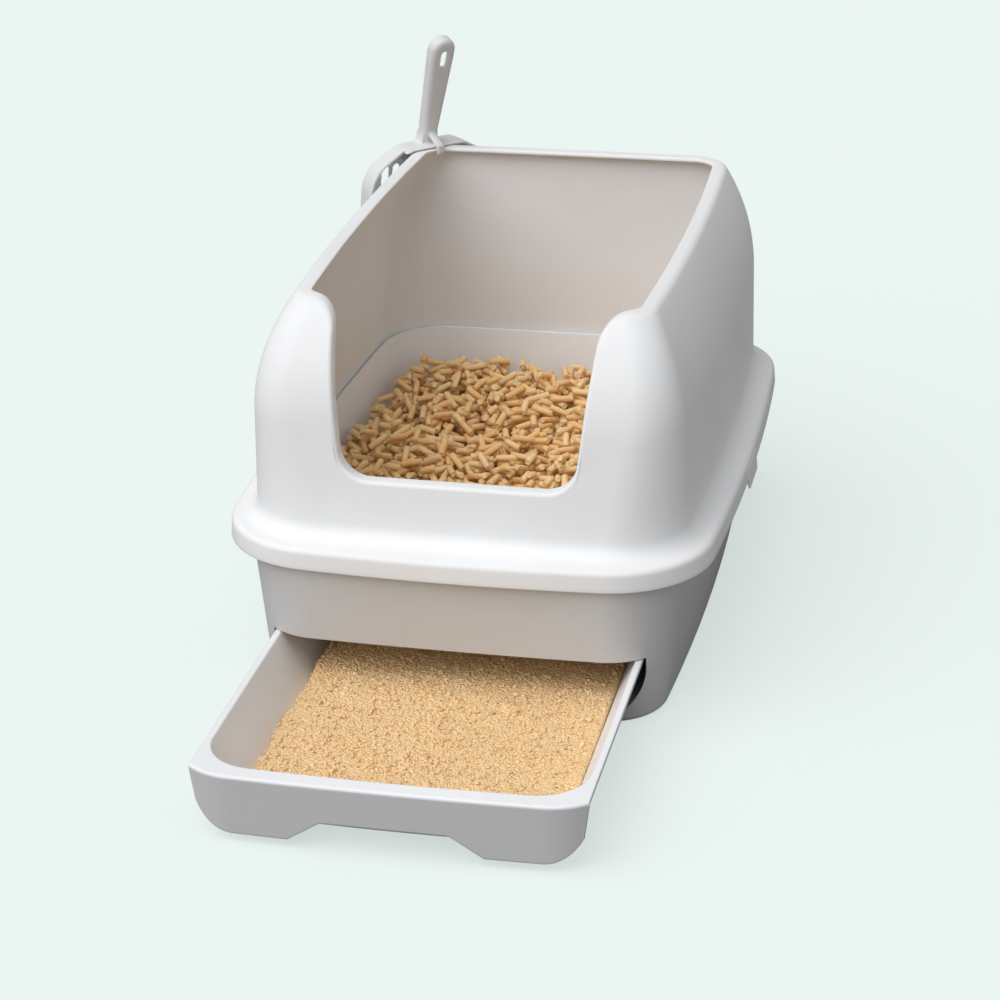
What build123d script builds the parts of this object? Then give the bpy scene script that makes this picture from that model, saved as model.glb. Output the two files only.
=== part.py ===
import os
from math import asin, cos, radians, sin, sqrt, tan

from build123d import *

# A litter box in four stacked parts: a base tub with a drawer, a sieve tray that hangs in
# the tub, and an open hood over both. Millimetres, +Z up, the floor at z = 0, the entrance
# faces -Y, and the box is mirrored about x = 0. It stands with its drawer pulled out. The
# pieces are built about the middle of the hood's brim, and moved along Y when they are
# written, to a frame whose origin is under the middle of the whole box.

# ---------------------------------------------------------------- driving dimensions

# Hood brim: the widest part, a flat band with a skirt hanging from its edge
brim_width = 440.0
brim_length = 592.0
brim_top = 153.0
brim_thickness = 3.0
brim_corner = 90.0
brim_end_bow = 4.5
brim_side_bow = 6.0
brim_edge_round = 5.0
skirt_height = 19.0
skirt_thickness = 3.0
skirt_flare = 1.3

# Hood wall: nearly upright at the back, leaning at the front, rolled in at the sides
rim_height = 345.0
wall_setback = 22.0
wall_front_setback = 31.0
wall_thickness = 3.6
wall_bend_height = 250.0
side_lean = 2.0
side_bend_radius = 175.0
front_lean = 9.0
front_bend_radius = 150.0
rear_lean = -0.3
wall_foot_corner = 68.0
wall_foot_fillet = 13.0
wall_end_bow = 1.0
wall_side_bow = 5.5
rim_front_corner = 26.0
rim_rear_corner = 38.0
rim_band = 14.0
rim_lip = 4.0

# Entrance cut into the front of the hood
entrance_sill = 205.0
entrance_sill_width = 202.0
entrance_rim_width = 232.0
entrance_sill_corner = 28.0
entrance_horn_round = 24.0

# Base tub: drafted walls under the brim, and a lip that carries the tray
tub_side_setback = 22.0
tub_end_setback = 6.0
tub_corner = 66.0
tub_end_bow = 2.0
tub_side_bow = 7.0
tub_draft = 5.0
tub_wall = 3.0
tub_floor = 3.0
tub_foot_round = 5.0
lip_thickness = 3.0
lip_side_gap = 10.0
lip_end_gap = 1.5

# Rubber feet
foot_radius = 10.0
foot_height = 2.0
foot_inset = 42.0

# Drawer: a tray with sloped walls behind a bowed front
drawer_pull = 241.0
drawer_bottom = 8.0
drawer_top = 62.0
drawer_gap = 1.0
drawer_wall = 3.0
drawer_front_margin = 21.5
drawer_front_depth = 16.0
drawer_front_taper = 38.0
drawer_front_rise = 46.0
drawer_front_edge_round = 2.5
drawer_mouth_round = 1.0
drawer_rim_margin = 1.5
drawer_rim_height = 3.5
drawer_rim_band = 5.5
drawer_wall_slope = 26.0
drawer_foot_round = 14.0
drawer_end_slope = 12.0
drawer_corner = 43.0
drawer_rim_corner = 8.0
drawer_end_bow = 2.5
drawer_side_bow = 0.6
drawer_rear_gap = 18.0
notch_width = 160.0
notch_top_width = 104.0
notch_height = 19.0
notch_round = 9.0

# Ribs on the tub floor: low ones that the drawer slides on, tall ones that guide it
runner_width = 6.0
runner_spacing = 160.0
runner_gap = 0.3
guide_width = 3.0
guide_height = 9.0
guide_gap = 1.5
rib_front_gap = 5.0
rib_rear_gap = 30.0

# Sieve tray: hangs by its flange between the tub's lip and the hood's brim
tray_gap = 2.2
tray_wall = 2.5
tray_floor = 3.0
tray_flange = 2.5
tray_flange_inset = 2.0
tray_upstand = 2.0
tray_draft = 8.6
tray_clearance = 6.0
seat_gap = 0.3
slot_width = 5.0
slot_length = 28.0
slot_pitch_x = 26.0
slot_pitch_y = 36.0
slot_columns = 11
slot_rows = 12

# Side latches: a plate on a pin along the skirt, with a hook for a catch on the tub
latch_front = -36.0
latch_length = 49.0
latch_pin_drop = 8.7
latch_pin_radius = 0.8
latch_pin_clearance = 0.08
latch_pin_seat = 6.0
latch_knuckle = 2.0
latch_play = 0.4
latch_recess_gap = 0.6
latch_plate = 2.0
latch_drop = 18.5
latch_hook_length = 30.0
latch_hook_thickness = 3.0
latch_bite = 1.0
latch_seat_gap = 0.5
latch_open_angle = 5.0
catch_length = 34.0
catch_height = 3.0
catch_slope = 6.0
catch_edge_inset = 8.0

# Scoop hung on the rear left corner of the rim
scoop_tilt = 10.5
scoop_offset = 4.0
scoop_shift = 2.5
scoop_width = 140.0
scoop_length = 136.0
scoop_crown_width = 60.0
scoop_crown_rise = 1.5
scoop_shoulder_drop = 22.0
scoop_shoulder_round = 38.0
scoop_crown_round = 20.0
scoop_tip_round = 20.0
scoop_back = 13.0
scoop_depth = 27.0
scoop_crown_depth = 18.0
scoop_tip_depth = 8.0
scoop_side_fall = 60.0
scoop_draft = 8.0
scoop_wall = 2.4
scoop_gap = 0.6
scoop_slot_width = 8.0
scoop_slot_pitch = 12.5
scoop_slot_count = 8
scoop_slot_length = 94.0
scoop_slot_drop = 20.0
neck_width = 17.0
neck_rise = 14.0
neck_flare_width = 60.0
neck_flare_drop = 14.0
handle_tilt = 19.0
handle_width = 26.0
handle_rise = 121.0
handle_straight = 22.0
handle_depth = 13.0
handle_wall = 2.6
handle_edge_round = 5.0
hang_hole_width = 7.0
hang_hole_length = 17.0
hang_hole_drop = 21.0
hook_width = 7.0
hook_thickness = 4.0
hook_rise = 13.0
hook_drop = 4.5

# Beds of litter
pellet_top = 115.0
sawdust_top = 27.0
bed_gap = 0.4

# ---------------------------------------------------------------- derived places

brim_underside = brim_top - brim_thickness
skirt_foot = brim_top - skirt_height
wall_foot_half_width = brim_width / 2 - wall_setback
wall_foot_front = -brim_length / 2 + wall_front_setback
wall_foot_rear = brim_length / 2 - wall_setback

tray_flange_top = brim_underside - seat_gap
tray_flange_bottom = tray_flange_top - tray_flange
tray_top = brim_underside + tray_upstand
tray_bottom = drawer_top + tray_clearance
tub_top = tray_flange_bottom - seat_gap
tub_bottom = foot_height
tub_floor_top = tub_bottom + tub_floor

latch_rear = latch_front + latch_length
latch_middle = latch_front + latch_length / 2
latch_pin_x = brim_width / 2 + skirt_flare * latch_pin_drop / skirt_height - skirt_thickness / 2
latch_pin_z = brim_top - latch_pin_drop
latch_pin_length = latch_length + 2 * (latch_play + latch_pin_seat)
latch_pin_rear = latch_rear + latch_play + latch_pin_seat
catch_edge = brim_width / 2 - catch_edge_inset
catch_bottom = latch_pin_z - latch_drop + latch_hook_thickness + latch_seat_gap


# ---------------------------------------------------------------- shapes used more than once


def level(z, y=0.0):
    """A horizontal plane at a height, with its origin moved along Y."""
    return Plane(origin=(0, y, z), z_dir=(0, 0, 1))


def across(y):
    """An upright plane at a place along Y: local x is X, local y is Z, and it faces -Y."""
    return Plane.XZ.offset(-y)


def bowed_rectangle(half_width, front, rear, front_corner, rear_corner, end_bow, side_bow):
    """A rounded rectangle from y = front to y = rear whose four sides are shallow arcs.

    The bow of a side is measured between the rounds at its two corners."""
    middle = (front + rear) / 2
    half_length = (rear - front) / 2
    side_rise = side_bow * (half_length / (half_length - (front_corner + rear_corner) / 2)) ** 2
    end_rise = end_bow * (half_width / (half_width - max(front_corner, rear_corner))) ** 2
    front_left = (-half_width + side_rise, front + end_rise)
    front_right = (half_width - side_rise, front + end_rise)
    rear_right = (half_width - side_rise, rear - end_rise)
    rear_left = (-half_width + side_rise, rear - end_rise)
    with BuildSketch() as outline:
        with BuildLine():
            ThreePointArc(front_left, (0, front), front_right)
            ThreePointArc(front_right, (half_width, middle), rear_right)
            ThreePointArc(rear_right, (0, rear), rear_left)
            ThreePointArc(rear_left, (-half_width, middle), front_left)
        make_face()
        fillet(outline.vertices().group_by(Axis.Y)[0], front_corner)
        fillet(outline.vertices().group_by(Axis.Y)[-1], rear_corner)
    return outline.sketch


def brim_outline(grow):
    """The plan of the brim's edge, grown outwards."""
    half_length = brim_length / 2 + grow
    corner = brim_corner + grow
    return bowed_rectangle(
        brim_width / 2 + grow, -half_length, half_length, corner, corner, brim_end_bow, brim_side_bow
    )


def leaning_wall(z, lean, bend_radius):
    """How far a wall has leant in at a height, and its angle there from the vertical."""
    lean = radians(lean)
    rise = z - brim_top
    bend = wall_bend_height - brim_top
    if rise <= bend or bend_radius is None:
        return rise * tan(lean), lean
    turned = asin(min(sin(lean) + (rise - bend) / bend_radius, 1.0))
    return bend * tan(lean) + bend_radius * (cos(lean) - cos(turned)), turned


def hood_section(z, thickness, band=0.0):
    """The plan of the hood wall at a height, set in by its thickness or by a level band's width."""
    side, side_angle = leaning_wall(z, side_lean, side_bend_radius)
    front, front_angle = leaning_wall(z, front_lean, front_bend_radius)
    rear, rear_angle = leaning_wall(z, rear_lean, None)
    side_inset = max(thickness / cos(side_angle), band)
    front_inset = max(thickness / cos(front_angle), band)
    rear_inset = max(thickness / cos(rear_angle), band)
    share = (z - brim_underside) / (rim_height - brim_underside)
    front_corner = wall_foot_corner + (rim_front_corner - wall_foot_corner) * share
    rear_corner = wall_foot_corner + (rim_rear_corner - wall_foot_corner) * share
    return bowed_rectangle(
        wall_foot_half_width - side - side_inset,
        wall_foot_front + front + front_inset,
        wall_foot_rear - rear - rear_inset,
        front_corner - side_inset,
        rear_corner - side_inset,
        wall_end_bow,
        wall_side_bow,
    )


def levels(low, high):
    """Heights for the sections of the hood's wall: two below its bend and four above."""
    straight = [low + (wall_bend_height - low) * k / 2 for k in range(2)]
    bent = [wall_bend_height + (high - wall_bend_height) * k / 4 for k in range(5)]
    return straight + bent


def tub_half_width(z):
    """Half the outer width of the base tub at a height."""
    return brim_width / 2 - tub_side_setback - (brim_top - z) * tan(radians(tub_draft))


def tub_half_length(z):
    """Half the outer length of the base tub at a height."""
    return brim_length / 2 - tub_end_setback - (brim_top - z) * tan(radians(tub_draft))


def tub_section(z, thickness):
    """The plan of the base tub at a height, set in by the wall's thickness."""
    half_length = tub_half_length(z) - thickness
    corner = tub_corner - (brim_top - z) * tan(radians(tub_draft)) - thickness
    return bowed_rectangle(
        tub_half_width(z) - thickness, -half_length, half_length, corner, corner, tub_end_bow, tub_side_bow
    )


def lip_outline(inset):
    """The plan of the tub's lip, which nests inside the hood's skirt, set in by an amount."""
    half_width = brim_width / 2 - skirt_thickness - lip_side_gap - inset
    half_length = brim_length / 2 - skirt_thickness - lip_end_gap - inset
    corner = brim_corner - skirt_thickness - lip_side_gap - inset
    return bowed_rectangle(
        half_width, -half_length, half_length, corner, corner, brim_end_bow, brim_side_bow
    )


def drawer_half_width(z):
    """Half the outer width of the drawer's tray at a height."""
    rim = tub_half_width(drawer_bottom) - drawer_front_margin - drawer_rim_margin
    top = rim - drawer_rim_band + drawer_wall
    return top - drawer_wall_slope * (drawer_top - z) / (drawer_top - drawer_bottom)


def drawer_section(z, thickness):
    """The plan of the drawer's tray at a height, set in by the wall's thickness."""
    slope = drawer_end_slope * (drawer_top - z) / (drawer_top - drawer_bottom)
    return bowed_rectangle(
        drawer_half_width(z) - thickness,
        drawer_face + drawer_front_depth - drawer_wall + slope + thickness,
        drawer_rear - slope - thickness,
        drawer_corner + drawer_wall - thickness,
        drawer_corner + drawer_wall - thickness,
        drawer_end_bow,
        drawer_side_bow,
    )


def drawer_block(bottom, top, inset):
    """The drawer's tray between two heights as one block with a rounded foot, set in by an amount."""
    with BuildPart() as block:
        for z in (bottom, top):
            with BuildSketch(level(z)):
                add(drawer_section(z, inset))
        loft(ruled=True)
        fillet(block.faces().sort_by(Axis.Z)[0].edges(), drawer_foot_round - inset)
    return block.part


def tray_section(z, thickness):
    """The plan of the sieve tray at a height, set in by the wall's thickness."""
    inset = wall_thickness + tray_gap + (tray_top - z) * tan(radians(tray_draft)) + thickness
    corner = wall_foot_corner - inset
    return bowed_rectangle(
        wall_foot_half_width - inset,
        wall_foot_front + inset,
        wall_foot_rear - inset,
        corner,
        corner,
        wall_end_bow,
        wall_side_bow,
    )


def drawer_front_outline(grow, bottom):
    """The drawer front seen square on: sharp top corners, and lower ones that are quarter ellipses."""
    half_top = tub_half_width(drawer_bottom) - drawer_front_margin + grow
    half_foot = half_top - drawer_front_taper - grow
    shoulder = drawer_bottom + drawer_front_rise
    rise = shoulder - bottom
    with BuildSketch() as outline:
        with BuildLine():
            right = EllipticalCenterArc(
                (half_foot, shoulder), half_top - half_foot, rise, start_angle=270, arc_size=90
            )
            left = EllipticalCenterArc(
                (-half_foot, shoulder), half_top - half_foot, rise, start_angle=180, arc_size=90
            )
            Line(left @ 1, right @ 0)
            Polyline(right @ 1, (half_top, drawer_top + grow), (-half_top, drawer_top + grow), left @ 0)
        make_face()
    return outline.sketch


def entrance_outline(grow):
    """The entrance seen square on, open at the top, with its edge grown into the wall."""
    half_sill = entrance_sill_width / 2
    half_rim = entrance_rim_width / 2
    above = rim_height + rim_lip * 2
    with BuildSketch() as outline:
        with BuildLine():
            Polyline(
                (-wall_foot_half_width, above),
                (-wall_foot_half_width, rim_height),
                (-half_rim, rim_height),
                (-half_sill, entrance_sill),
                (half_sill, entrance_sill),
                (half_rim, rim_height),
                (wall_foot_half_width, rim_height),
                (wall_foot_half_width, above),
                close=True,
            )
        make_face()
        fillet(outline.vertices().group_by(Axis.Y)[0], entrance_sill_corner)
        horns = outline.vertices().group_by(Axis.Y)[-2].sort_by(SortBy.DISTANCE)[:2]
        fillet(horns, entrance_horn_round)
        if grow:
            offset(amount=grow, kind=Kind.ARC)
    return outline.sketch


def latch_plane(y):
    """The plane of the right latch's section at a place along Y, facing -Y.

    Its origin is on the pin and its local y runs up the plate, which stands open a little."""
    lean = radians(latch_open_angle)
    return Plane(
        origin=(latch_pin_x, y, latch_pin_z), x_dir=(cos(lean), 0, sin(lean)), z_dir=(0, -1, 0)
    )


drawer_face = -tub_half_length(drawer_top) - drawer_pull
drawer_rear = tub_half_length(drawer_bottom) - tub_wall - drawer_rear_gap - drawer_pull
opening_start = -tub_half_length(tub_bottom) + tub_corner

os.makedirs("parts", exist_ok=True)
pieces = []

# ---------------------------------------------------------------- base tub

with BuildPart() as base_tub:
    for z in (tub_bottom, tub_top):
        with BuildSketch(level(z)):
            add(tub_section(z, 0))
    loft(ruled=True)
    fillet(base_tub.faces().sort_by(Axis.Z)[0].edges(), tub_foot_round)
    with BuildSketch(level(tub_top)):
        add(lip_outline(0))
    extrude(amount=-lip_thickness)
    for z in (tub_floor_top, tub_top):
        with BuildSketch(level(z)):
            add(tub_section(z, tub_wall))
    loft(ruled=True, mode=Mode.SUBTRACT)
    # the drawer's opening in the front wall
    with BuildSketch(across(opening_start)):
        add(drawer_front_outline(drawer_gap, drawer_bottom - drawer_gap))
    extrude(amount=tub_corner * 2, mode=Mode.SUBTRACT)
    # ribs under and beside the drawer
    rib_front = -tub_half_length(tub_floor_top) + drawer_front_depth + rib_front_gap
    rib_rear = tub_half_length(tub_floor_top) - rib_rear_gap
    rib_length = rib_rear - rib_front
    runner_height = drawer_bottom - runner_gap - tub_floor_top
    guide_x = drawer_half_width(tub_floor_top + guide_height) + guide_gap + guide_width / 2
    for spacing, width, height in (
        (runner_spacing, runner_width, runner_height),
        (guide_x * 2, guide_width, guide_height),
    ):
        with BuildSketch(level(tub_floor_top, (rib_front + rib_rear) / 2)):
            with GridLocations(spacing, 1, 2, 1):
                Rectangle(width, rib_length)
        extrude(amount=height)
    # a catch on each side wall for the latch's hook
    with BuildSketch(across(latch_middle + catch_length / 2)):
        for side in (-1, 1):
            wall = tub_half_width(catch_bottom) - tub_wall / 2
            with BuildLine():
                Polyline(
                    (side * wall, catch_bottom),
                    (side * catch_edge, catch_bottom),
                    (side * catch_edge, catch_bottom + catch_height),
                    (side * wall, catch_bottom + catch_height + catch_slope),
                    close=True,
                )
            make_face()
    extrude(amount=catch_length)
base_tub.part.label = "base_tub"
pieces.append(base_tub.part)

# ---------------------------------------------------------------- rubber feet

for end, end_name in ((-1, "front"), (1, "rear")):
    for side, side_name in ((-1, "left"), (1, "right")):
        x = side * (tub_half_width(tub_bottom) - foot_inset)
        y = end * (tub_half_length(tub_bottom) - foot_inset)
        with BuildPart() as foot:
            with BuildSketch():
                with Locations((x, y)):
                    Circle(foot_radius)
            extrude(amount=foot_height)
            chamfer(foot.edges().group_by(Axis.Z)[0], foot_height / 4)
        foot.part.label = f"foot_{end_name}_{side_name}"
        pieces.append(foot.part)

# ---------------------------------------------------------------- drawer

# the space for fingers inside the front, open below
with BuildPart() as finger_space:
    for z in (0, drawer_top - drawer_wall):
        with BuildSketch(level(z, -drawer_pull)):
            add(tub_section(z, drawer_wall))
    loft(ruled=True)
    with BuildSketch(across(drawer_face + drawer_front_depth)):
        add(drawer_front_outline(-drawer_wall, drawer_bottom - drawer_wall))
    extrude(amount=drawer_front_depth * 2, mode=Mode.INTERSECT)

# the rim along the drawer's top, which runs out to the face
with BuildPart() as drawer_rim:
    for z in (drawer_bottom, drawer_top):
        with BuildSketch(level(z, -drawer_pull)):
            add(tub_section(z, 0))
    loft(ruled=True)
    overhang = drawer_rim_band - drawer_wall
    with BuildSketch(level(drawer_top)):
        rim_outline = bowed_rectangle(
            drawer_half_width(drawer_top) + overhang,
            drawer_face - drawer_front_depth,
            drawer_rear + overhang,
            drawer_rim_corner,
            drawer_corner + drawer_rim_band,
            drawer_end_bow,
            drawer_side_bow,
        )
        add(rim_outline)
    extrude(amount=-drawer_rim_height, mode=Mode.INTERSECT)

with BuildPart() as drawer:
    # the front takes its curve from the tub's wall, which it closes
    for z in (drawer_bottom, drawer_top):
        with BuildSketch(level(z, -drawer_pull)):
            add(tub_section(z, 0))
    loft(ruled=True)
    with BuildSketch(across(drawer_face + drawer_front_depth)):
        add(drawer_front_outline(0, drawer_bottom))
    extrude(amount=drawer_front_depth * 2, mode=Mode.INTERSECT)
    add(finger_space.part, mode=Mode.SUBTRACT)
    with BuildSketch(across(drawer_face + drawer_front_depth)) as notch:
        with BuildLine():
            Polyline(
                (-notch_width / 2, drawer_bottom),
                (-notch_top_width / 2, drawer_bottom + notch_height),
                (notch_top_width / 2, drawer_bottom + notch_height),
                (notch_width / 2, drawer_bottom),
                close=True,
            )
        make_face()
        fillet(notch.vertices().group_by(Axis.Y)[-1], notch_round)
    extrude(amount=drawer_front_depth * 2, mode=Mode.SUBTRACT)
    # the tray behind it, and its rim
    add(drawer_block(drawer_bottom, drawer_top, 0))
    add(drawer_rim.part)
    add(drawer_block(drawer_bottom + drawer_wall, drawer_top + drawer_wall, drawer_wall), mode=Mode.SUBTRACT)
    fillet(drawer.edges().group_by(Axis.Z)[-1].filter_by(GeomType.BSPLINE), drawer_mouth_round)
    face_edges = drawer.edges().group_by(Axis.Z)[-1].filter_by(GeomType.CIRCLE).sort_by(Axis.Y)[:3]
    fillet(face_edges, drawer_front_edge_round)
drawer.part.label = "drawer"
pieces.append(drawer.part)

# ---------------------------------------------------------------- sieve tray

with BuildPart() as sieve_tray:
    for z in (tray_bottom, tray_top):
        with BuildSketch(level(z)):
            add(tray_section(z, 0))
    loft(ruled=True)
    with BuildSketch(level(tray_flange_bottom)):
        add(lip_outline(tray_flange_inset))
    extrude(amount=tray_flange)
    for z in (tray_bottom + tray_floor, tray_top):
        with BuildSketch(level(z)):
            add(tray_section(z, tray_wall))
    loft(ruled=True, mode=Mode.SUBTRACT)
    with BuildSketch(level(tray_bottom)):
        with GridLocations(slot_pitch_x, slot_pitch_y, slot_columns, slot_rows):
            SlotOverall(slot_length, slot_width, rotation=90)
    extrude(amount=tray_floor, mode=Mode.SUBTRACT)
sieve_tray.part.label = "sieve_tray"
pieces.append(sieve_tray.part)

# ---------------------------------------------------------------- hood

# the space inside the wall, clear of the lip along the rim and the entrance
with BuildPart() as hood_hollow:
    for z in levels(skirt_foot, rim_height + rim_lip):
        with BuildSketch(level(z)):
            add(hood_section(z, wall_thickness))
    loft()
    with BuildSketch(across(0)):
        add(entrance_outline(rim_lip))
    extrude(amount=brim_length / 2, mode=Mode.SUBTRACT)
    with BuildSketch(level(rim_height - rim_lip)):
        Rectangle(brim_width, brim_length)
    extrude(amount=rim_lip * 3, mode=Mode.SUBTRACT)

with BuildPart() as hood:
    # the brim and its skirt
    for z, grow in ((skirt_foot, skirt_flare), (brim_top, 0)):
        with BuildSketch(level(z)):
            add(brim_outline(grow))
    loft(ruled=True)
    fillet(hood.faces().sort_by(Axis.Z)[-1].edges(), brim_edge_round)
    for z, grow in ((skirt_foot, skirt_flare - skirt_thickness), (brim_underside, -skirt_thickness)):
        with BuildSketch(level(z)):
            add(brim_outline(grow))
    loft(ruled=True, mode=Mode.SUBTRACT)
    # the wall, and the fillet where it rises from the brim
    for z in levels(brim_underside, rim_height):
        with BuildSketch(level(z)):
            add(hood_section(z, 0))
    loft()
    brim_face = hood.faces().filter_by(GeomType.PLANE).sort_by(Axis.Z)[-2]
    fillet(brim_face.inner_wires()[0].edges(), wall_foot_fillet)
    for z in levels(skirt_foot, rim_height + rim_lip):
        with BuildSketch(level(z)):
            add(hood_section(z, 0, rim_band))
    loft(mode=Mode.SUBTRACT)
    add(hood_hollow.part, mode=Mode.SUBTRACT)
    with BuildSketch(across(0)):
        add(entrance_outline(0))
    extrude(amount=brim_length / 2, mode=Mode.SUBTRACT)
    # a recess in the skirt on each side for the latch, and the bore of its pin
    recess_top = latch_pin_z + latch_knuckle + latch_recess_gap
    recess_height = recess_top - skirt_foot
    with BuildSketch(across(latch_rear + latch_play)):
        for side in (-1, 1):
            with Locations((side * latch_pin_x, recess_top - recess_height)):
                Rectangle(skirt_thickness * 3, recess_height * 2)
    extrude(amount=latch_length + 2 * latch_play, mode=Mode.SUBTRACT)
    with BuildSketch(across(latch_pin_rear)):
        with Locations((-latch_pin_x, latch_pin_z), (latch_pin_x, latch_pin_z)):
            Circle(latch_pin_radius)
    extrude(amount=latch_pin_length, mode=Mode.SUBTRACT)
hood.part.label = "hood"
pieces.append(hood.part)

# ---------------------------------------------------------------- side latches and their pins

with BuildPart() as latch_right:
    with BuildSketch(latch_plane(latch_rear)):
        Circle(latch_knuckle)
        with Locations((latch_knuckle - latch_plate / 2, -latch_drop / 2)):
            Rectangle(latch_plate, latch_drop)
    extrude(amount=latch_length)
    hook_reach = latch_pin_x + latch_knuckle - catch_edge + latch_bite
    with BuildSketch(latch_plane(latch_middle + latch_hook_length / 2)):
        with Locations((latch_knuckle - hook_reach / 2, latch_hook_thickness / 2 - latch_drop)):
            Rectangle(hook_reach, latch_hook_thickness)
    extrude(amount=latch_hook_length)
    with BuildSketch(latch_plane(latch_rear)):
        Circle(latch_pin_radius + latch_pin_clearance)
    extrude(amount=latch_length, mode=Mode.SUBTRACT)
latch_right.part.label = "latch_right"
pieces.append(latch_right.part)

with BuildPart() as latch_left:
    mirror(latch_right.part, about=Plane.YZ)
latch_left.part.label = "latch_left"
pieces.append(latch_left.part)

for side, side_name in ((-1, "left"), (1, "right")):
    with BuildPart() as latch_pin:
        with BuildSketch(across(latch_pin_rear)):
            with Locations((side * latch_pin_x, latch_pin_z)):
                Circle(latch_pin_radius)
        extrude(amount=latch_pin_length)
    latch_pin.part.label = f"latch_pin_{side_name}"
    pieces.append(latch_pin.part)

# ---------------------------------------------------------------- scoop

# where the rim turns its rear left corner, measured along and across the diagonal
rim_side, _ = leaning_wall(rim_height, side_lean, side_bend_radius)
rim_back, _ = leaning_wall(rim_height, rear_lean, None)
corner_x = wall_foot_half_width - rim_side - wall_side_bow - rim_rear_corner
corner_y = wall_foot_rear - rim_back - wall_end_bow - rim_rear_corner
hang_reach = rim_rear_corner + scoop_offset
diagonal = sqrt(0.5)
hang_point = (
    -corner_x + (scoop_shift - hang_reach) * diagonal,
    corner_y + (scoop_shift + hang_reach) * diagonal,
    rim_height,
)


def hanging_plane(tilt):
    """A plane at the rim's corner that faces the box and leans over it by an angle.

    Its local x runs across the scoop and its local y up the handle."""
    tilt = radians(tilt)
    facing = (diagonal * cos(tilt), -diagonal * cos(tilt), -sin(tilt))
    return Plane(origin=hang_point, x_dir=(diagonal, diagonal, 0), z_dir=facing)


scoop_plane = hanging_plane(scoop_tilt)
handle_plane = hanging_plane(handle_tilt)
scoop_floor = scoop_plane.offset(-scoop_back)
scoop_side = Plane(origin=hang_point, x_dir=scoop_plane.z_dir, z_dir=-scoop_plane.x_dir)
hook_plane = Plane(origin=hang_point, x_dir=(diagonal, -diagonal, 0), z_dir=-scoop_plane.x_dir)


def bowl_outline(inset, tip):
    """The scoop's bowl seen square on, set in by its wall, down to its tip."""
    half_width = scoop_width / 2 - inset
    half_crown = scoop_crown_width / 2 - inset / 2
    crown = scoop_crown_rise - inset
    with BuildSketch() as outline:
        with BuildLine():
            Polyline(
                (-half_crown, crown),
                (-half_width, crown - scoop_shoulder_drop),
                (-half_width, tip),
                (half_width, tip),
                (half_width, crown - scoop_shoulder_drop),
                (half_crown, crown),
                close=True,
            )
        make_face()
        fillet(outline.vertices().group_by(Axis.Y)[0], scoop_tip_round - inset)
        shoulders = outline.vertices().filter_by_position(
            Axis.Y, crown - scoop_shoulder_drop - inset, crown - scoop_shoulder_drop + inset + 1
        )
        fillet(shoulders, scoop_shoulder_round - inset)
        fillet(outline.vertices().group_by(Axis.Y)[-1], scoop_crown_round)
    return outline.sketch


def handle_outline(inset, foot):
    """The scoop's handle seen square on, set in by its wall, from a foot up to its round end."""
    half_neck = neck_width / 2 - inset
    half_grip = handle_width / 2 - inset
    grip = handle_rise - handle_straight
    with BuildSketch() as outline:
        with BuildLine():
            Polyline(
                (-half_neck, foot),
                (-half_neck, neck_rise),
                (-half_grip, grip),
                (-half_grip, handle_rise - inset),
                (half_grip, handle_rise - inset),
                (half_grip, grip),
                (half_neck, neck_rise),
                (half_neck, foot),
                close=True,
            )
        make_face()
        fillet(outline.vertices().group_by(Axis.Y)[-1], half_grip * 0.99)
    return outline.sketch


# the handle is a channel, open at the back, with a hang hole near its end
with BuildPart() as scoop_handle:
    with BuildSketch(handle_plane):
        add(handle_outline(0, -neck_flare_drop))
    extrude(amount=-handle_depth)
    handle_front = scoop_handle.faces().sort_by(Axis(hang_point, handle_plane.z_dir))[-1]
    fillet(handle_front.edges(), handle_edge_round)
    with BuildSketch(handle_plane.offset(-handle_depth)):
        add(handle_outline(handle_wall, neck_rise / 2))
    extrude(amount=handle_depth - handle_wall, mode=Mode.SUBTRACT)
    with BuildSketch(handle_plane):
        with Locations((0, handle_rise - hang_hole_drop)):
            SlotOverall(hang_hole_length, hang_hole_width, rotation=90)
    extrude(amount=-handle_depth, mode=Mode.SUBTRACT)

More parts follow.
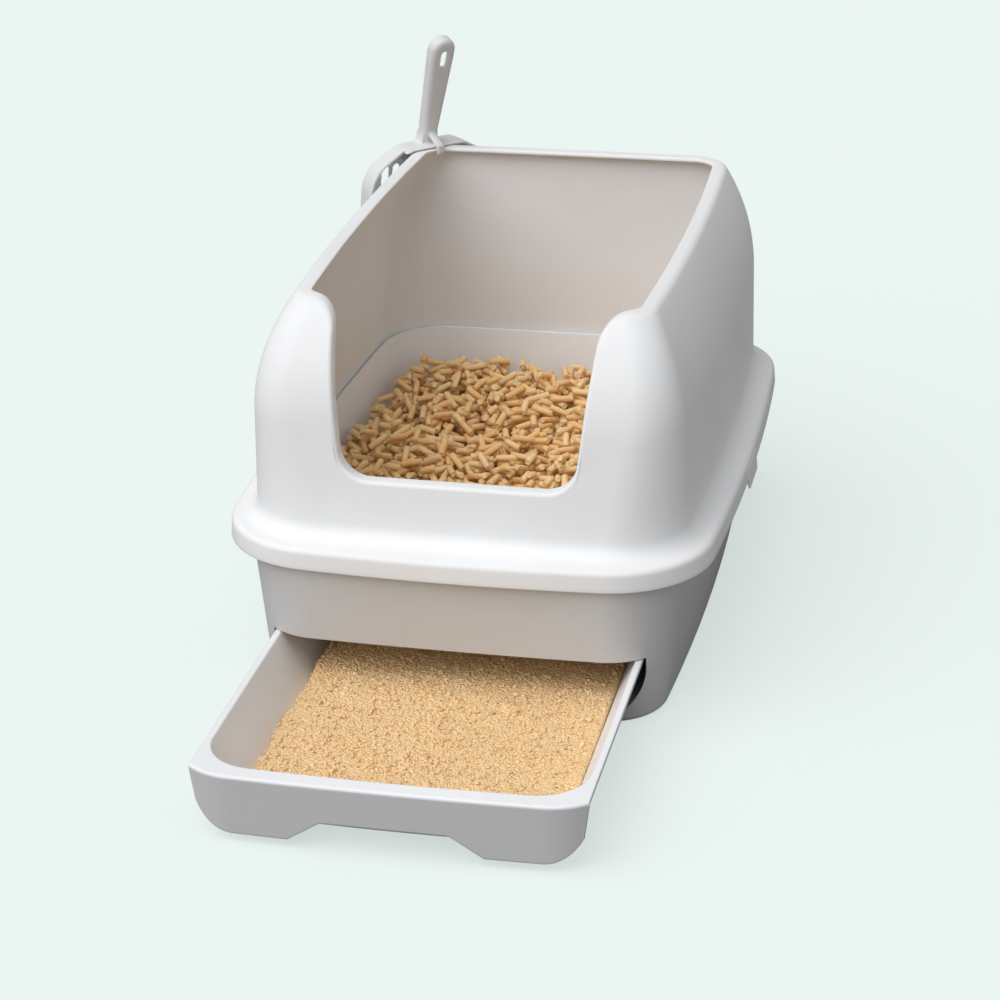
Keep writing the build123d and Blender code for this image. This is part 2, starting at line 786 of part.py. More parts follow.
with BuildPart() as scoop:
    # the bowl: drafted walls that sink towards its open tip, and a slotted floor
    with BuildSketch(scoop_floor):
        add(bowl_outline(0, -scoop_length))
    extrude(amount=scoop_depth, taper=-scoop_draft)
    with BuildSketch(scoop_floor.offset(scoop_wall)):
        add(bowl_outline(scoop_wall, -scoop_length * 2))
    extrude(amount=scoop_depth, taper=-scoop_draft, mode=Mode.SUBTRACT)
    with BuildSketch(scoop_side):
        with BuildLine():
            Polyline(
                (scoop_tip_depth - scoop_back, -scoop_length * 2),
                (scoop_tip_depth - scoop_back, -scoop_length),
                (scoop_depth - scoop_back, -scoop_side_fall),
                (scoop_crown_depth - scoop_back, scoop_crown_rise),
                (scoop_depth, scoop_crown_rise),
                (scoop_depth, -scoop_length * 2),
                close=True,
            )
        make_face()
    extrude(amount=scoop_width, both=True, mode=Mode.SUBTRACT)
    with BuildSketch(scoop_floor):
        with Locations((0, -scoop_slot_drop - scoop_slot_length / 2)):
            with GridLocations(scoop_slot_pitch, 1, scoop_slot_count, 1):
                SlotOverall(scoop_slot_length, scoop_slot_width, rotation=90)
    extrude(amount=scoop_wall, mode=Mode.SUBTRACT)
    # the handle, and the flare that joins it to the bowl
    add(scoop_handle.part)
    with BuildSketch(scoop_plane):
        with BuildLine():
            for side in (-1, 1):
                Line((0, neck_rise), (side * neck_width / 2, neck_rise))
                TangentArc(
                    (side * neck_width / 2, neck_rise),
                    (side * neck_flare_width / 2, -neck_flare_drop),
                    tangent=(0, -1),
                )
            Line((-neck_flare_width / 2, -neck_flare_drop), (neck_flare_width / 2, -neck_flare_drop))
        make_face()
    extrude(amount=-scoop_back)
    # room for the corner of the hood that the bowl hangs round
    for z in levels(brim_top, rim_height + scoop_gap):
        with BuildSketch(level(z)):
            add(hood_section(z, -scoop_gap))
    loft(mode=Mode.SUBTRACT)
    # the hook: a strap from the neck over the rim, and down inside it
    hook_inside = scoop_offset + rim_band + scoop_gap
    with BuildSketch(hook_plane) as hook_profile:
        with BuildLine():
            Polyline(
                (-scoop_gap, hook_rise),
                (-scoop_gap, hook_rise + hook_thickness * 1.5),
                (hook_inside + hook_thickness, hook_thickness + scoop_gap),
                (hook_inside + hook_thickness, -hook_drop),
                (hook_inside, -hook_drop),
                (hook_inside, scoop_gap),
                close=True,
            )
        make_face()
        fillet(hook_profile.vertices().sort_by(Axis.X)[-2:], hook_thickness / 3)
    extrude(amount=hook_width / 2, both=True)
scoop.part.label = "scoop"
pieces.append(scoop.part)

# ---------------------------------------------------------------- beds of litter

with BuildPart() as litter_pellets:
    for z in (tray_bottom + tray_floor + bed_gap, pellet_top):
        with BuildSketch(level(z)):
            add(tray_section(z, tray_wall + bed_gap))
    loft(ruled=True)
litter_pellets.part.label = "litter_pellets"
pieces.append(litter_pellets.part)

with BuildPart() as sawdust:
    add(drawer_block(drawer_bottom + drawer_wall + bed_gap, sawdust_top, drawer_wall + bed_gap))
sawdust.part.label = "sawdust"
pieces.append(sawdust.part)

# ---------------------------------------------------------------- the frame

# the origin is on the floor, under the middle of the whole box with its drawer pulled out
boxes = [piece.bounding_box() for piece in pieces]
frame_middle = (min(box.min.Y for box in boxes) + max(box.max.Y for box in boxes)) / 2
for piece in pieces:
    piece.move(Location((0, -frame_middle, 0)))
    export_step(piece, f"parts/{piece.label}.step")
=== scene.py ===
"""The looks of a drawer litter box.

A white open hood stands over a grey base tub. A sieve tray of wood pellets hangs inside,
a drawer of sawdust is pulled out at the front, a latch closes each side, and a scoop hangs
on the rear left corner. Lengths are millimetres where a shape is worked out, and a mesh
is written in metres.
"""

from functools import partial
from math import atan2, cos, pi, radians, sin, sqrt, tan

import bmesh
import bpy
import numpy as np
from mathutils import Matrix, Vector


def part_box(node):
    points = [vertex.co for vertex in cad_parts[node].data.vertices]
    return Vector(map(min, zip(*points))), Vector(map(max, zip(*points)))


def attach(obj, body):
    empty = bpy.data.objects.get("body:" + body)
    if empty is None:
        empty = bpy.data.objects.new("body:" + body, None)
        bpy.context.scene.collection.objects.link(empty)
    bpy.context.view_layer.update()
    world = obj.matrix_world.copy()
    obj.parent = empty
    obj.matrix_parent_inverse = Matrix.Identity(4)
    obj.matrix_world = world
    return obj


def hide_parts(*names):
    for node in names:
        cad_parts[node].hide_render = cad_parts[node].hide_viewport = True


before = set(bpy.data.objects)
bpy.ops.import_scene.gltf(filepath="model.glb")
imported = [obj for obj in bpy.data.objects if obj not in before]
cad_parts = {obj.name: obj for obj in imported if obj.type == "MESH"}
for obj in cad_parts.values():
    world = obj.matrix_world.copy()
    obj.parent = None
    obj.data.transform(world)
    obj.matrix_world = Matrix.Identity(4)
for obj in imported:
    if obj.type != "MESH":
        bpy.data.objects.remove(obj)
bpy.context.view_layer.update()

bl_info = {
    "name": "Drawer Litter Box",
    "version": (1, 0, 0),
    "blender": (4, 5, 0),
    "location": "View3D > Sidebar > Litter Box",
    "description": "Builds the shells, litter and finishes of an open litter box with a drawer",
    "category": "Object",
}

MM = 0.001

# Shapes are worked out about the middle of the hood's brim, and moved along Y to the frame's origin
BRIM_MIDDLE = sum(corner[1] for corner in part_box("hood")) / 2

# The hood's fixed places
BRIM_UNDERSIDE = 150.0
BRIM_TOP = 153.0
BRIM_HALF_WIDTH = 220.0
BRIM_HALF_LENGTH = 296.0
BRIM_CORNER = 90.0
BRIM_BOWS = (4.5, 6.0)
SKIRT_FOOT = 134.0
SKIRT_FLARE = 1.3
SKIRT_THICKNESS = 3.0
SKIRT_ROUND = 1.2
RECESS_TOP = 146.9
RECESS_ENDS = (-36.4, 13.4)
WALL_HALF_WIDTH = 198.0
WALL_FRONT = -265.0
WALL_REAR = 274.0
WALL_BEND = 250.0
RIM = 345.0
WALL_FILLET = 13.0
WALL_BOWS = (1.0, 5.5)

# The round of the wall's corners at its foot, and how much less it is at the rim in front and behind
WALL_CORNER = 68.0
CORNER_LOSSES = (42.0, 30.0)

# Depths in from the wall's face that are measured square to it, and level
SHALLOW = 4.0
DEEP = 8.0

# Each wall's lean in degrees, and the radius of the bend above it
SIDE_LEAN = (2.0, 175.0)
FRONT_LEAN = (9.0, 150.0)
REAR_LEAN = (-0.3, None)

# The inside of the sieve tray: a leaning wall, whose sides bow towards the middle of their length
TRAY_MIDDLE = 4.5
TRAY_TOP = 117.0
TRAY_HALF_WIDTH = 184.4
TRAY_HALF_LENGTH = 255.0
TRAY_CORNER = 53.0
TRAY_LEAN = 0.151
TRAY_BOW = 8.8
TRAY_BOW_REACH = 256.0

# The loose pellets: where they are dropped, the level at which they have to clear the tray's wall,
# the places that each one tries, and the steepest slope that it may lie at
DROP_ACROSS = (-182.0, 182.0)
DROP_ALONG = (-248.0, 257.0)
DROP_LEVEL = 112.0
TRIES = 4
STEEPEST = 0.62

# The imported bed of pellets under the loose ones
CORE_FOOT = 71.6
CORE_TOP = 78.5
CORE_RIM = 84.0
CORE_GAP = 3.0
CORE_HALF_LENGTH = 247.0
CORE_CORNER = 45.0

# The drawer: the rear of its front panel, the top of the darker grey painted on its face as shade, and the inside of
# its tray
DRAWER_PANEL = -507.5
PAINTED_SHADE_TOP = 61.5
DRAWER_RIM = 62.0
DRAWER_DEPTH = 54.0
DRAWER_HALF_WIDTH = 156.8
DRAWER_FRONT = -507.04
DRAWER_REAR = 12.3
DRAWER_CORNER = 43.0
SIDE_SLOPE = 26.0
END_SLOPE = 12.0

# The sawdust: its foot, its height at the walls, the level that its edge is worked out at, and its top
SAWDUST_FOOT = 11.5
SAWDUST_EDGE = 15.5
SAWDUST_LEVEL = 24.0
SAWDUST_TOP = 27.5

# The X and Z in metres of what the camera looks at, level with the middle of the brim
CAMERA_TARGET = (-0.0204, 0.0798)

# From the box towards the middle of the broad light
KEY_DIRECTION = Vector((-0.33, -0.45, 0.83)).normalized()

# The entrance seen square on: sill, rim, and the two rounds between them
SILL = 205.0
SILL_HALF_WIDTH = 101.0
RIM_HALF_WIDTH = 116.0
SILL_ROUND = 28.0
HORN_ROUND = 24.0

# Columns along the sill, its round, the leaning side and the horn's round, then along the corner's rest
EDGE_STEPS = (18, 14, 30, 16)
CORNER_STEPS = 12


# ---- sizes and colours


length_setting = partial(bpy.props.FloatProperty, unit="LENGTH")
angle_setting = partial(bpy.props.FloatProperty, subtype="ANGLE")
strength_setting = partial(bpy.props.FloatProperty, min=0.0)
count_setting = partial(bpy.props.IntProperty, min=1)
colour_setting = partial(bpy.props.FloatVectorProperty, size=3, subtype="COLOR", min=0.0, max=1.0)


class HoodSettings(bpy.types.PropertyGroup):
    wall: length_setting(name="Wall", description="Thickness of the hood's wall", default=0.0036, min=0.001)
    rim_band: length_setting(
        name="Rim band", description="Width of the flange along the rim and the entrance", default=0.014, min=0.008
    )
    rim_lip: length_setting(name="Rim lip", description="Thickness of that flange", default=0.004, min=0.003)
    rim_round: length_setting(
        name="Rim round", description="Radius of the flange's outer edge", default=0.0032, min=0.0005
    )
    brim_round: length_setting(
        name="Brim round", description="Radius of the brim's upper edge", default=0.005, min=0.001
    )


class LitterSettings(bpy.types.PropertyGroup):
    pellet_radius: length_setting(
        name="Pellet radius", description="Half the thickness of a wood pellet", default=0.0031, min=0.001
    )
    pellet_shortest: length_setting(
        name="Shortest pellet", description="Length of the shortest pellet", default=0.009, min=0.004
    )
    pellet_longest: length_setting(
        name="Longest pellet", description="Length of the longest pellet", default=0.025, min=0.006
    )
    pellet_count: count_setting(name="Pellets", description="How many pellets are dropped on the bed", default=4300)
    grain_count: count_setting(
        name="Sawdust grains", description="How many loose grains lie on the sawdust", default=9000
    )
    seed: count_setting(name="Seed", description="Seed of the scattered litter", default=11)


class FinishSettings(bpy.types.PropertyGroup):
    white: colour_setting(
        name="White plastic", description="Colour of the hood and latches", default=(0.85, 0.857, 0.868)
    )
    # This grey is also painted on the drawer's face, as shade there
    grey: colour_setting(
        name="Grey plastic", description="Colour of the base tub and the drawer's face", default=(0.61, 0.612, 0.616)
    )
    drawer: colour_setting(
        name="Drawer plastic", description="Colour of the drawer's tray and rim", default=(0.86, 0.875, 0.90)
    )
    tray: colour_setting(name="Tray plastic", description="Colour of the sieve tray", default=(0.90, 0.91, 0.93))
    scoop: colour_setting(name="Scoop plastic", description="Colour of the scoop", default=(0.74, 0.743, 0.75))
    pellet: colour_setting(name="Pellet wood", description="Middle colour of the pellets", default=(1.0, 0.63, 0.27))
    sawdust: colour_setting(name="Sawdust", description="Middle colour of the sawdust", default=(1.0, 0.69, 0.36))
    rubber: colour_setting(name="Foot rubber", description="Colour of the feet", default=(0.06, 0.06, 0.062))
    steel: colour_setting(name="Pin steel", description="Colour of the latch pins", default=(0.55, 0.55, 0.56))


class StageSettings(bpy.types.PropertyGroup):
    backdrop: colour_setting(
        name="Backdrop", description="Colour of the floor and the space behind", default=(0.831, 0.913, 0.888)
    )
    distance: length_setting(
        name="Camera distance", description="From the camera to its target", default=2.5156, min=0.5
    )
    azimuth: angle_setting(
        name="Azimuth", description="Camera's turn to the right of the front", default=radians(12.96)
    )
    elevation: angle_setting(name="Elevation", description="Camera's height angle", default=radians(24.0))
    roll: angle_setting(name="Roll", description="Camera's turn about its own axis", default=radians(-1.19))
    lens: bpy.props.FloatProperty(
        name="Lens", description="Focal length in millimetres on a 36 mm sensor", default=95.27, min=10.0
    )
    key_strength: strength_setting(
        name="Key light", description="Strength of the broad light from the upper left", default=2.46
    )
    key_breadth: angle_setting(
        name="Key breadth", description="Angle that the broad light takes up in the sky", default=radians(72.0),
        min=0.0, max=pi,
    )
    sky: strength_setting(name="Sky", description="Strength of the even light from all round", default=0.34)


# ---- shader maths


class Value:
    """A socket of a material's nodes. Arithmetic on it adds Math nodes."""

    def __init__(self, maker, socket):
        self.maker = maker
        self.socket = socket

    def _math(self, operation, first, second):
        return self.maker.node("ShaderNodeMath", {"operation": operation}, {0: first, 1: second})

    def __add__(self, other):
        return self._math("ADD", self, other)

    def __radd__(self, other):
        return self._math("ADD", other, self)

    def __sub__(self, other):
        return self._math("SUBTRACT", self, other)

    def __rsub__(self, other):
        return self._math("SUBTRACT", other, self)

    def __mul__(self, other):
        return self._math("MULTIPLY", self, other)

    def __rmul__(self, other):
        return self._math("MULTIPLY", other, self)

    def beside(self, name):
        """Another output of the same node."""
        return Value(self.maker, self.socket.node.outputs[name])


class Finish:
    """The node tree of a new material or world, with one method that adds any node."""

    def __init__(self, owner):
        owner.use_nodes = True
        self.owner = owner
        self.tree = owner.node_tree
        self.tree.nodes.clear()

    def node(self, kind, settings=None, inputs=None, output=0):
        """Adds a node of a type, first its settings, then the values or links of its sockets."""
        made = self.tree.nodes.new(kind)
        for key, value in (settings or {}).items():
            setattr(made, key, value)
        for key, value in (inputs or {}).items():
            if isinstance(value, Value):
                self.tree.links.new(value.socket, made.inputs[key])
            elif hasattr(value, "__len__") and len(value) == 3 and len(made.inputs[key].default_value) == 4:
                made.inputs[key].default_value = (*value, 1.0)
            else:
                made.inputs[key].default_value = value
        return Value(self, made.outputs[output]) if len(made.outputs) else None

    def place(self):
        """Where a point lies on its piece, in metres."""
        return self.node("ShaderNodeTexCoord", output="Object")

    def attribute(self, name):
        """A number that the mesh gives each of its points."""
        return self.node("ShaderNodeAttribute", {"attribute_name": name}, output="Fac")

    def stretched(self, vector, scale):
        """A vector scaled along each axis."""
        return self.node("ShaderNodeMapping", None, {"Vector": vector, "Scale": scale})

    def noise(self, vector, scale, detail=2.0, roughness=0.5):
        """Soft random values from 0 to 1."""
        sockets = {"Vector": vector, "Scale": scale, "Detail": detail, "Roughness": roughness}
        return self.node("ShaderNodeTexNoise", None, sockets)

    def ramp(self, value, low, high):
        """0 below low, 1 above high, and a straight rise between."""
        return self.node("ShaderNodeMapRange", None, {"Value": value, "From Min": low, "From Max": high})

    def blend(self, share, first, second):
        """A colour between two."""
        return self.node("ShaderNodeMix", {"data_type": "RGBA"}, {0: share, 6: first, 7: second}, output=2)

    def bump(self, strength, distance, height, **sockets):
        """A normal tilted by a height."""
        return self.node(
            "ShaderNodeBump", None, {"Strength": strength, "Distance": distance, "Height": height, **sockets}
        )

    def surface(self, **sockets):
        """A Principled shader on the material's output."""
        named = {key.replace("_", " ").title().replace("Ior", "IOR"): value for key, value in sockets.items()}
        shader = self.node("ShaderNodeBsdfPrincipled", None, named)
        self.node("ShaderNodeOutputMaterial", None, {"Surface": shader})
        return self.owner


def shade(colour, *factors):
    """A colour made darker or lighter, by one factor or by one for each of red, green and blue."""
    return tuple(min(1.0, c * f) for c, f in zip(colour, factors * (3 // len(factors))))


def moulded_plastic(name, colour, gloss, edge=0.0, face=None):
    """Satin moulded plastic: a broad, barely seen change of tone, a fine spark-eroded skin, and soft edges.

    The face, painted a darker grey as shade, lies before a place along Y and below a height, both in metres."""
    made = Finish(bpy.data.materials.new(name))
    place = made.place()
    broad = made.noise(place, 9.0, 3.0)
    skin = made.noise(place, 1500.0, 2.0, 0.6)
    flow = made.noise(place, 26.0, 4.0, 0.55)
    tone = made.blend(made.ramp(broad, 0.3, 0.7), shade(colour, 0.975), shade(colour, 1.02))
    # Painted shade: the drawer's front face takes the darker grey
    if face:
        grey, before, below = face
        along = made.node("ShaderNodeSeparateXYZ", None, {0: place}, output="Y")
        shaded_front = 1 - made.ramp(along, before - 0.001, before)
        low = 1 - made.ramp(along.beside("Z"), below - 0.0025, below)
        tone = made.blend(shaded_front * low, tone, grey)
    rubbed = made.ramp(flow, 0.35, 0.75) * 0.05
    soft = {"Normal": made.node("ShaderNodeBevel", {"samples": 6}, {"Radius": edge})} if edge else {}
    return made.surface(
        base_color=tone,
        roughness=gloss + rubbed + (skin - 0.5) * 0.06,
        normal=made.bump(0.12, 0.0004, skin, **soft),
        specular_ior_level=0.3,
    )


def pressed_wood(name, colour):
    """Pellets: pale and dark ones, lengthwise fibres, cracks round them, and lighter torn ends."""
    made = Finish(bpy.data.materials.new(name))
    along = made.node("ShaderNodeUVMap", {"uv_map": "pellet"})
    fibre = made.noise(made.stretched(along, (0.12, 1.0, 1.0)), 1.6, 4.0, 0.65)
    crack = made.ramp(made.noise(made.stretched(along, (1.0, 0.12, 1.0)), 0.55, 3.0, 0.6), 0.60, 0.72)
    fleck = made.noise(made.place(), 900.0, 3.0, 0.7)
    light = shade(colour, 1.03, 1.18, 1.5)
    body = made.blend(made.attribute("tint"), shade(colour, 0.95), light)
    fibred = made.blend(made.ramp(fibre, 0.40, 0.68) * 0.35, body, shade(colour, 0.72, 0.58, 0.45))
    cracked = made.blend(crack * 0.25, fibred, shade(colour, 0.55))
    flecked = made.blend(made.ramp(fleck, 0.58, 0.74) * 0.45, cracked, light)
    ended = made.blend(made.attribute("torn") * 0.6, flecked, shade(colour, 1.03, 1.3, 1.9))
    bump = made.bump(0.55, 0.0005, fibre * 0.5 + fleck * 0.6 - crack * 0.7)
    return made.surface(base_color=ended, roughness=0.62 + fleck * 0.25, normal=bump, specular_ior_level=0.3)


def loose_sawdust(name, colour):
    """Sawdust: warm crumbs of many tones, with pale chips and a few brown specks."""
    made = Finish(bpy.data.materials.new(name))
    place = made.place()
    cells = made.node("ShaderNodeTexVoronoi", None, {"Vector": place, "Scale": 420.0}, output="Distance")
    crumb = made.node("ShaderNodeSeparateColor", None, {0: cells.beside("Color")})
    dust = made.noise(place, 1400.0, 4.0, 0.7)
    broad = made.noise(place, 16.0, 3.0)
    ground = made.blend(made.ramp(broad, 0.3, 0.7), shade(colour, 0.97), shade(colour, 1.04))
    pale = crumb * 0.55 + made.attribute("tint") * 0.35
    toned = made.blend(pale, ground_colour(colour), shade(colour, 1.0, 1.16, 1.5))
    mixed = made.blend(0.6, ground, toned)
    specked = made.blend(made.ramp(crumb, 0.965, 0.985) * 0.6, mixed, (0.42, 0.20, 0.08))
    dusted = made.blend(made.ramp(dust, 0.56, 0.8) * 0.25, specked, ground_colour(shade(colour, 0.6)))
    bump = made.bump(0.45, 0.0006, (1 - cells * 60.0) * 0.7 + dust * 0.6)
    return made.surface(base_color=dusted, roughness=0.85, normal=bump, specular_ior_level=0.15)


def ground_colour(colour):
    """The duller tone between sawdust's crumbs."""
    return shade(colour, 1.0, 0.88, 0.70)


def foot_rubber(name, colour):
    """Soft rubber with a dusty, uneven skin."""
    made = Finish(bpy.data.materials.new(name))
    grain = made.noise(made.place(), 600.0, 3.0)
    return made.surface(
        base_color=made.blend(grain, shade(colour, 0.8), shade(colour, 1.3)),
        roughness=0.7 + grain * 0.2,
        normal=made.bump(0.2, 0.0003, grain),
    )


def drawn_steel(name, colour):
    """Drawn wire with faint scratches along it."""
    made = Finish(bpy.data.materials.new(name))
    scratch = made.noise(made.stretched(made.place(), (1.0, 0.02, 1.0)), 4000.0, 3.0)
    return made.surface(
        base_color=made.blend(scratch, shade(colour, 0.85), shade(colour, 1.1)),
        roughness=0.22 + scratch * 0.2,
        metallic=1.0,
    )


# ---- meshes from arrays


def grid_quads(rows, columns, wrap_rows=False, wrap_columns=False):
    """The four corners of each cell of a grid of points, row by row."""
    r = np.arange(rows if wrap_rows else rows - 1)
    c = np.arange(columns if wrap_columns else columns - 1)
    r, c = np.meshgrid(r, c, indexing="ij")
    r2, c2 = (r + 1) % rows, (c + 1) % columns
    corners = (r * columns + c, r * columns + c2, r2 * columns + c2, r2 * columns + c)
    return np.stack(corners, axis=-1).reshape(-1, 4)


def linked(name, data):
    """A new object in the scene that holds this data."""
    made = bpy.data.objects.new(name, data)
    bpy.context.scene.collection.objects.link(made)
    return made


def rework(mesh, change):
    """Passes a mesh through a change of its bmesh."""
    shell = bmesh.new()
    shell.from_mesh(mesh)
    change(shell)
    shell.to_mesh(mesh)
    shell.free()


def piece(name, points, faces, material, outwards=True, flat_from=None):
    """An object whose mesh has these points (in millimetres) and faces (arrays of corner indices).

    Faces from index flat_from on are shaded flat, the others smooth."""
    mesh = bpy.data.meshes.new(name)
    mesh.vertices.add(len(points))
    placed = np.asarray(points, float) * MM + np.array([0.0, BRIM_MIDDLE, 0.0])
    mesh.vertices.foreach_set("co", placed.astype(np.float32).ravel())
    sizes = np.concatenate([np.full(len(f), f.shape[1]) for f in faces])
    corners = np.concatenate([f.ravel() for f in faces])
    mesh.loops.add(len(corners))
    mesh.loops.foreach_set("vertex_index", corners.astype(np.int32))
    mesh.polygons.add(len(sizes))
    mesh.polygons.foreach_set("loop_start", np.concatenate([[0], np.cumsum(sizes)[:-1]]).astype(np.int32))
    smooth = np.ones(len(sizes), bool)
    if flat_from is not None:
        smooth[flat_from:] = False
    mesh.polygons.foreach_set("use_smooth", smooth)
    mesh.update(calc_edges=True)
    mesh.validate()
    if outwards:
        rework(mesh, lambda shell: bmesh.ops.recalc_face_normals(shell, faces=shell.faces))
    mesh.materials.append(material)
    return linked(name, mesh)


def add_value(made, name, values):
    """Gives a mesh one number for each of its points."""
    made.data.attributes.new(name, "FLOAT", "POINT").data.foreach_set("value", values.astype(np.float32))


def hashed(x, y, seed):
    """A random number from 0 to 1 for each pair of whole numbers."""
    n = (x.astype(np.int64) * 374761393 + y.astype(np.int64) * 668265263 + seed * 144269504) & 0xFFFFFFFF
    n = ((n ^ (n >> 13)) * 1274126177) & 0xFFFFFFFF
    return (n ^ (n >> 16)) / 4294967296.0


def eased(t):
    """A share from 0 to 1 that starts and ends gently: three times its square less twice its cube."""
    return t * t * (3 - 2 * t)


def soft_noise(x, y, scale, seed):
    """Random values at the corners of squares of a size, eased smoothly between them."""
    u, v = x / scale, y / scale
    i, j = np.floor(u), np.floor(v)
    s, t = eased(u - i), eased(v - j)
    low = hashed(i, j, seed) * (1 - s) + hashed(i + 1, j, seed) * s
    high = hashed(i, j + 1, seed) * (1 - s) + hashed(i + 1, j + 1, seed) * s
    return low * (1 - t) + high * t


# ---- outlines and walls


def quarter(count):
    """Angles from 0 to a quarter turn."""
    return np.linspace(0, pi / 2, count)


def bowed_outline(half_width, front, rear, front_corner, rear_corner, end_bow, side_bow):
    """The five arcs of the right half of a rounded rectangle whose sides bow outwards.

    A side is the circle through its bowed middle and its two ends. A corner is the circle that
    touches both of its sides from inside, found where two circles about their centres meet.
    Returns centres x and y, radii, and the angles at which one arc passes to the next, each
    counted from straight ahead round to the right."""
    half_length = (rear - front) / 2
    side_rise = side_bow * (half_length / (half_length - (front_corner + rear_corner) / 2)) ** 2
    end_rise = end_bow * (half_width / (half_width - np.maximum(front_corner, rear_corner))) ** 2
    end_radius = ((half_width - side_rise) ** 2 + end_rise**2) / (2 * end_rise)
    half_side = half_length - end_rise
    side_radius = (half_side**2 + side_rise**2) / (2 * side_rise)
    side_x = half_width - side_radius
    middle = (front + rear) / 2

    def corner(end_y, radius):
        reach_end, reach_side = end_radius - radius, side_radius - radius
        dx, dy = side_x, middle - end_y
        apart = np.hypot(dx, dy)
        dx, dy = dx / apart, dy / apart
        along = (reach_end**2 - reach_side**2 + apart**2) / (2 * apart)
        across = np.sqrt(reach_end**2 - along**2)
        x1, y1 = along * dx - across * dy, along * dy + across * dx
        x2, y2 = along * dx + across * dy, along * dy - across * dx
        right = x1 > x2
        x, y = np.where(right, x1, x2), end_y + np.where(right, y1, y2)
        return x, y, np.arctan2(x, end_y - y), np.arctan2(x - side_x, middle - y)

    front_y, rear_y = front + end_radius, rear - end_radius
    x1, y1, turn1, turn2 = corner(front_y, front_corner)
    x2, y2, turn4, turn3 = corner(rear_y, rear_corner)
    zero = np.zeros_like(x1)
    return {
        "x": (zero, x1, side_x + zero, x2, zero),
        "y": (front_y + zero, y1, middle + zero, y2, rear_y + zero),
        "radius": (end_radius, front_corner + zero, side_radius, rear_corner + zero, end_radius),
        "turn": (zero, turn1, turn2, turn3, turn4, zero + pi),
    }


def on_outline(arcs, p):
    """Points of an outline: p runs from 0 at the middle of the front to 5 at the middle of the rear."""
    k = np.minimum(np.floor(p).astype(int), 4)
    pick = [k == i for i in range(5)]
    share = p - k
    start, stop, x, y, radius = (
        np.select(pick, [np.broadcast_to(value, p.shape) for value in values])
        for values in (arcs["turn"][:5], arcs["turn"][1:], arcs["x"], arcs["y"], arcs["radius"])
    )
    turn = start + (stop - start) * share
    return x + radius * np.sin(turn), y - radius * np.cos(turn)


def front_place(arcs, x):
    """The p of the point of an outline's front, or of its corner, that has a given x."""
    radius, corner = arcs["radius"][0], arcs["radius"][1]
    first, second = arcs["turn"][1], arcs["turn"][2]
    on_front = x <= radius * np.sin(first)
    front = np.arcsin(np.clip(x / radius, 0, 1)) / first
    turn = np.arcsin(np.clip((x - arcs["x"][1]) / corner, -1, 1))
    return np.where(on_front, front, 1 + (turn - first) / (second - first))


def leant(z, lean, bend_radius):
    """How far a wall has leant in at a height, and its angle from the vertical: straight, then an arc."""
    lean = radians(lean)
    rise, bend = z - BRIM_TOP, WALL_BEND - BRIM_TOP
    if bend_radius is None:
        return rise * tan(lean), np.full_like(z, lean)
    turned = np.arcsin(np.clip(sin(lean) + np.maximum(rise - bend, 0) / bend_radius, 0, 1))
    bent = bend * tan(lean) + bend_radius * (cos(lean) - np.cos(turned))
    return np.where(rise <= bend, rise * tan(lean), bent), np.where(rise <= bend, lean, turned)


def hood_arcs(z, depth):
    """The hood wall's outline at a height, at a depth in from its outer face (below 0: outside it).

    A shallow depth is measured square to the leaning wall, a deep one level."""
    slant = np.clip((DEEP - depth) / (DEEP - SHALLOW), 0, 1) * (depth > 0)
    places, insets = [], []
    for lean in (SIDE_LEAN, FRONT_LEAN, REAR_LEAN):
        place, angle = leant(z, *lean)
        inset = depth * (1 + (1 / np.cos(angle) - 1) * slant)
        places.append(place + inset)
        insets.append(inset)
    share = (z - BRIM_UNDERSIDE) / (RIM - BRIM_UNDERSIDE)
    corners = (WALL_CORNER - loss * share - insets[0] for loss in CORNER_LOSSES)
    side, front, rear = places
    return bowed_outline(WALL_HALF_WIDTH - side, WALL_FRONT + front, WALL_REAR - rear, *corners, *WALL_BOWS)


def brim_arcs(grow):
    """The outline of the brim's edge, grown outwards."""
    half_length, corner = BRIM_HALF_LENGTH + grow, BRIM_CORNER + grow
    return bowed_outline(BRIM_HALF_WIDTH + grow, -half_length, half_length, corner, corner, *BRIM_BOWS)


def cut_edge(k):
    """The entrance's edge seen square on, k millimetres inside the material: x and z.

    The sill, a round whose centre is in the opening, the leaning side, and the horn's round,
    whose centre is in the wall. Then come the places along the rim, at one height."""
    run, rise = RIM_HALF_WIDTH - SILL_HALF_WIDTH, RIM - SILL
    length = sqrt(run**2 + rise**2)
    nx, nz = -rise / length, run / length
    low = np.array([SILL_HALF_WIDTH + SILL_ROUND * (1 - nz) / nx, SILL + SILL_ROUND])
    high = np.array([RIM_HALF_WIDTH + HORN_ROUND * (1 - nz) / -nx, RIM - HORN_ROUND])
    on_sill, on_round, on_side, on_horn = EDGE_STEPS
    sill_x = low[0] * np.linspace(0, 1, on_sill, endpoint=False)
    turn = np.linspace(-pi / 2, atan2(-nz, -nx), on_round, endpoint=False)
    first = low - (SILL_ROUND + k) * np.array([nx, nz])
    last = high + (HORN_ROUND - k) * np.array([nx, nz])
    side = np.linspace(0, 1, on_side, endpoint=False)
    horn = np.linspace(atan2(nz, nx), pi / 2, on_horn, endpoint=False)
    sill = np.stack([sill_x, np.full(on_sill, SILL - k)])
    lower = low[:, None] + (SILL_ROUND + k) * np.array([np.cos(turn), np.sin(turn)])
    leaning = first[:, None] + (last - first)[:, None] * side
    upper = high[:, None] + (HORN_ROUND - k) * np.array([np.cos(horn), np.sin(horn)])
    x, z = np.concatenate([sill, lower, leaning, upper], axis=1)
    return x, z, high[0]


